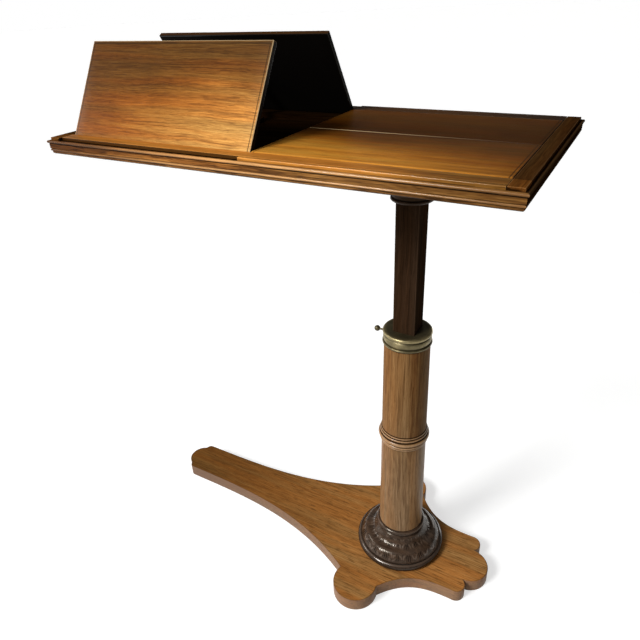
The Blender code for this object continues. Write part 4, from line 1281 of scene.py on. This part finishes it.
def lay_floor(stage, tone):
    """A wide round floor: rings of points at four radii, above the same rings turned over."""
    drop, thick, steps = 0.0004, 0.01, 96
    angle = np.arange(steps) * 2 * math.pi / steps
    ring = np.array((0.02, 1.0, 4.0, 30.0))[:, None]
    points = np.stack(np.broadcast_arrays(ring * np.cos(angle), ring * np.sin(angle), -drop), axis=-1)
    floor = solid("floor", np.concatenate((points, points[::-1] - (0, 0, thick))), True)
    paint = Paint("pale_floor", tone)
    cloud = paint.noise(paint.place(), 1.2, 2.0)
    seen = paint.rays("Is Camera Ray", "Is Glossy Ray", "Is Transmission Ray")
    paint.surface(
        Base_Color=paint.mix(cloud, scaled(tone, 0.97), tone),
        Emission_Color=paint.mix(seen, BLACK, scaled(WHITE, stage.backdrop)),
        Emission_Strength=1.0,
        Roughness=0.75,
        Specular_IOR_Level=0.2,
    )
    floor.data.materials.append(paint.material)


def hang_lamps(stage, scene):
    """A broad soft light and three lamps, each turned to what it lights."""
    for name, kind, place, aim, spread in (
        ("broad", "SUN", (-0.75, -1.35, 1.2), (0.0, 0.0, 0.0), math.radians(18)),
        ("key", "AREA", (-0.24, -0.95, 1.22), (-0.12, 0.0, 0.60), 0.36),
        ("side", "AREA", (-1.75, -0.55, 1.20), (0.0, 0.0, 0.35), 0.6),
        ("back", "AREA", (0.35, 1.40, 0.40), (0.0, 0.0, 0.45), 0.6),
    ):
        lamp = bpy.data.lights.new(name, kind)
        lamp.energy = getattr(stage, name)
        setattr(lamp, "angle" if kind == "SUN" else "size", spread)
        made = bpy.data.objects.new(name, lamp)
        made.location = place
        made.rotation_euler = (Vector(aim) - Vector(place)).to_track_quat("-Z", "Y").to_euler()
        scene.collection.objects.link(made)


def light_world(stage, scene):
    """Even light that is stronger before the table, and a white background for the rays that show it."""
    world = bpy.data.worlds.new("studio")
    scene.world = world
    world.use_nodes = True
    sky = Paint.on(world.node_tree)
    x, y, z = sky.parts(sky.node("ShaderNodeTexCoord").outputs["Generated"])
    front = (z * 0.45 - x * 0.45 - y * 0.77).between(-0.4, 0.9)
    shown = sky.rays("Is Glossy Ray", "Is Transmission Ray") * z.between(0.07, 0.0)
    shown = shown.most(sky.rays("Is Camera Ray"))
    even = stage.ambient * (0.18 + 0.82 * front)
    strength = even + (1.0 - even) * shown
    sky.feed(world.node_tree.nodes["Background"], {"Color": opaque(WHITE), "Strength": strength})


def aim_camera(stage, scene):
    """The camera's axes come from its yaw and pitch, then right and down are turned by its roll."""
    camera = bpy.data.cameras.new("camera")
    camera.lens = stage.lens
    camera.sensor_width = 36.0
    camera.clip_end = 200.0
    yaw, pitch, roll = stage.yaw, stage.pitch, stage.roll
    ahead = Vector((-math.sin(yaw) * math.cos(pitch), math.cos(yaw) * math.cos(pitch), -math.sin(pitch)))
    right = Vector((math.cos(yaw), math.sin(yaw), 0.0))
    down = ahead.cross(right)
    across = math.cos(roll) * right + math.sin(roll) * down
    up = math.sin(roll) * right - math.cos(roll) * down
    turn = Matrix((across, up, -ahead)).transposed().to_4x4()
    view = bpy.data.objects.new("camera", camera)
    view.matrix_world = Matrix.Translation(Vector(stage.place)) @ turn
    scene.collection.objects.link(view)
    scene.camera = view


class TABLE_OT_stage(bpy.types.Operator):
    """Makes the floor, the lamps, the even light and the camera"""

    bl_idname = "reading_table.stage"
    bl_label = "Stage"

    def execute(self, context):
        scene, stage = context.scene, settings().stage
        lay_floor(stage, settings().colours.floor)
        hang_lamps(stage, scene)
        light_world(stage, scene)
        aim_camera(stage, scene)
        scene.view_settings.view_transform = "Standard"
        return {"FINISHED"}


OPERATORS = (
    TABLE_OT_base,
    TABLE_OT_column,
    TABLE_OT_foot_ring,
    TABLE_OT_collar,
    TABLE_OT_clamp,
    TABLE_OT_post,
    TABLE_OT_edges,
    TABLE_OT_rails,
    TABLE_OT_flaps,
    TABLE_OT_fittings,
    TABLE_OT_stage,
)


class TABLE_PT_pieces(bpy.types.Panel):
    """Lists the operators in the sidebar"""

    bl_idname = "TABLE_PT_pieces"
    bl_label = "Reading Table"
    bl_space_type = "VIEW_3D"
    bl_region_type = "UI"
    bl_category = "Reading Table"

    def draw(self, context):
        for operator in OPERATORS:
            self.layout.operator(operator.bl_idname)


CLASSES = (BaseSizes, CarvingSizes, Colours, StageSizes, TableSettings, *OPERATORS, TABLE_PT_pieces)


def register():
    for item in CLASSES:
        bpy.utils.register_class(item)
    bpy.types.Scene.reading_table = PointerProperty(type=TableSettings)


def unregister():
    del bpy.types.Scene.reading_table
    for item in reversed(CLASSES):
        bpy.utils.unregister_class(item)


def main():
    register()
    for operator in OPERATORS:
        group, name = operator.bl_idname.split(".")
        getattr(getattr(bpy.ops, group), name)()


if __name__ == "__main__":
    main()
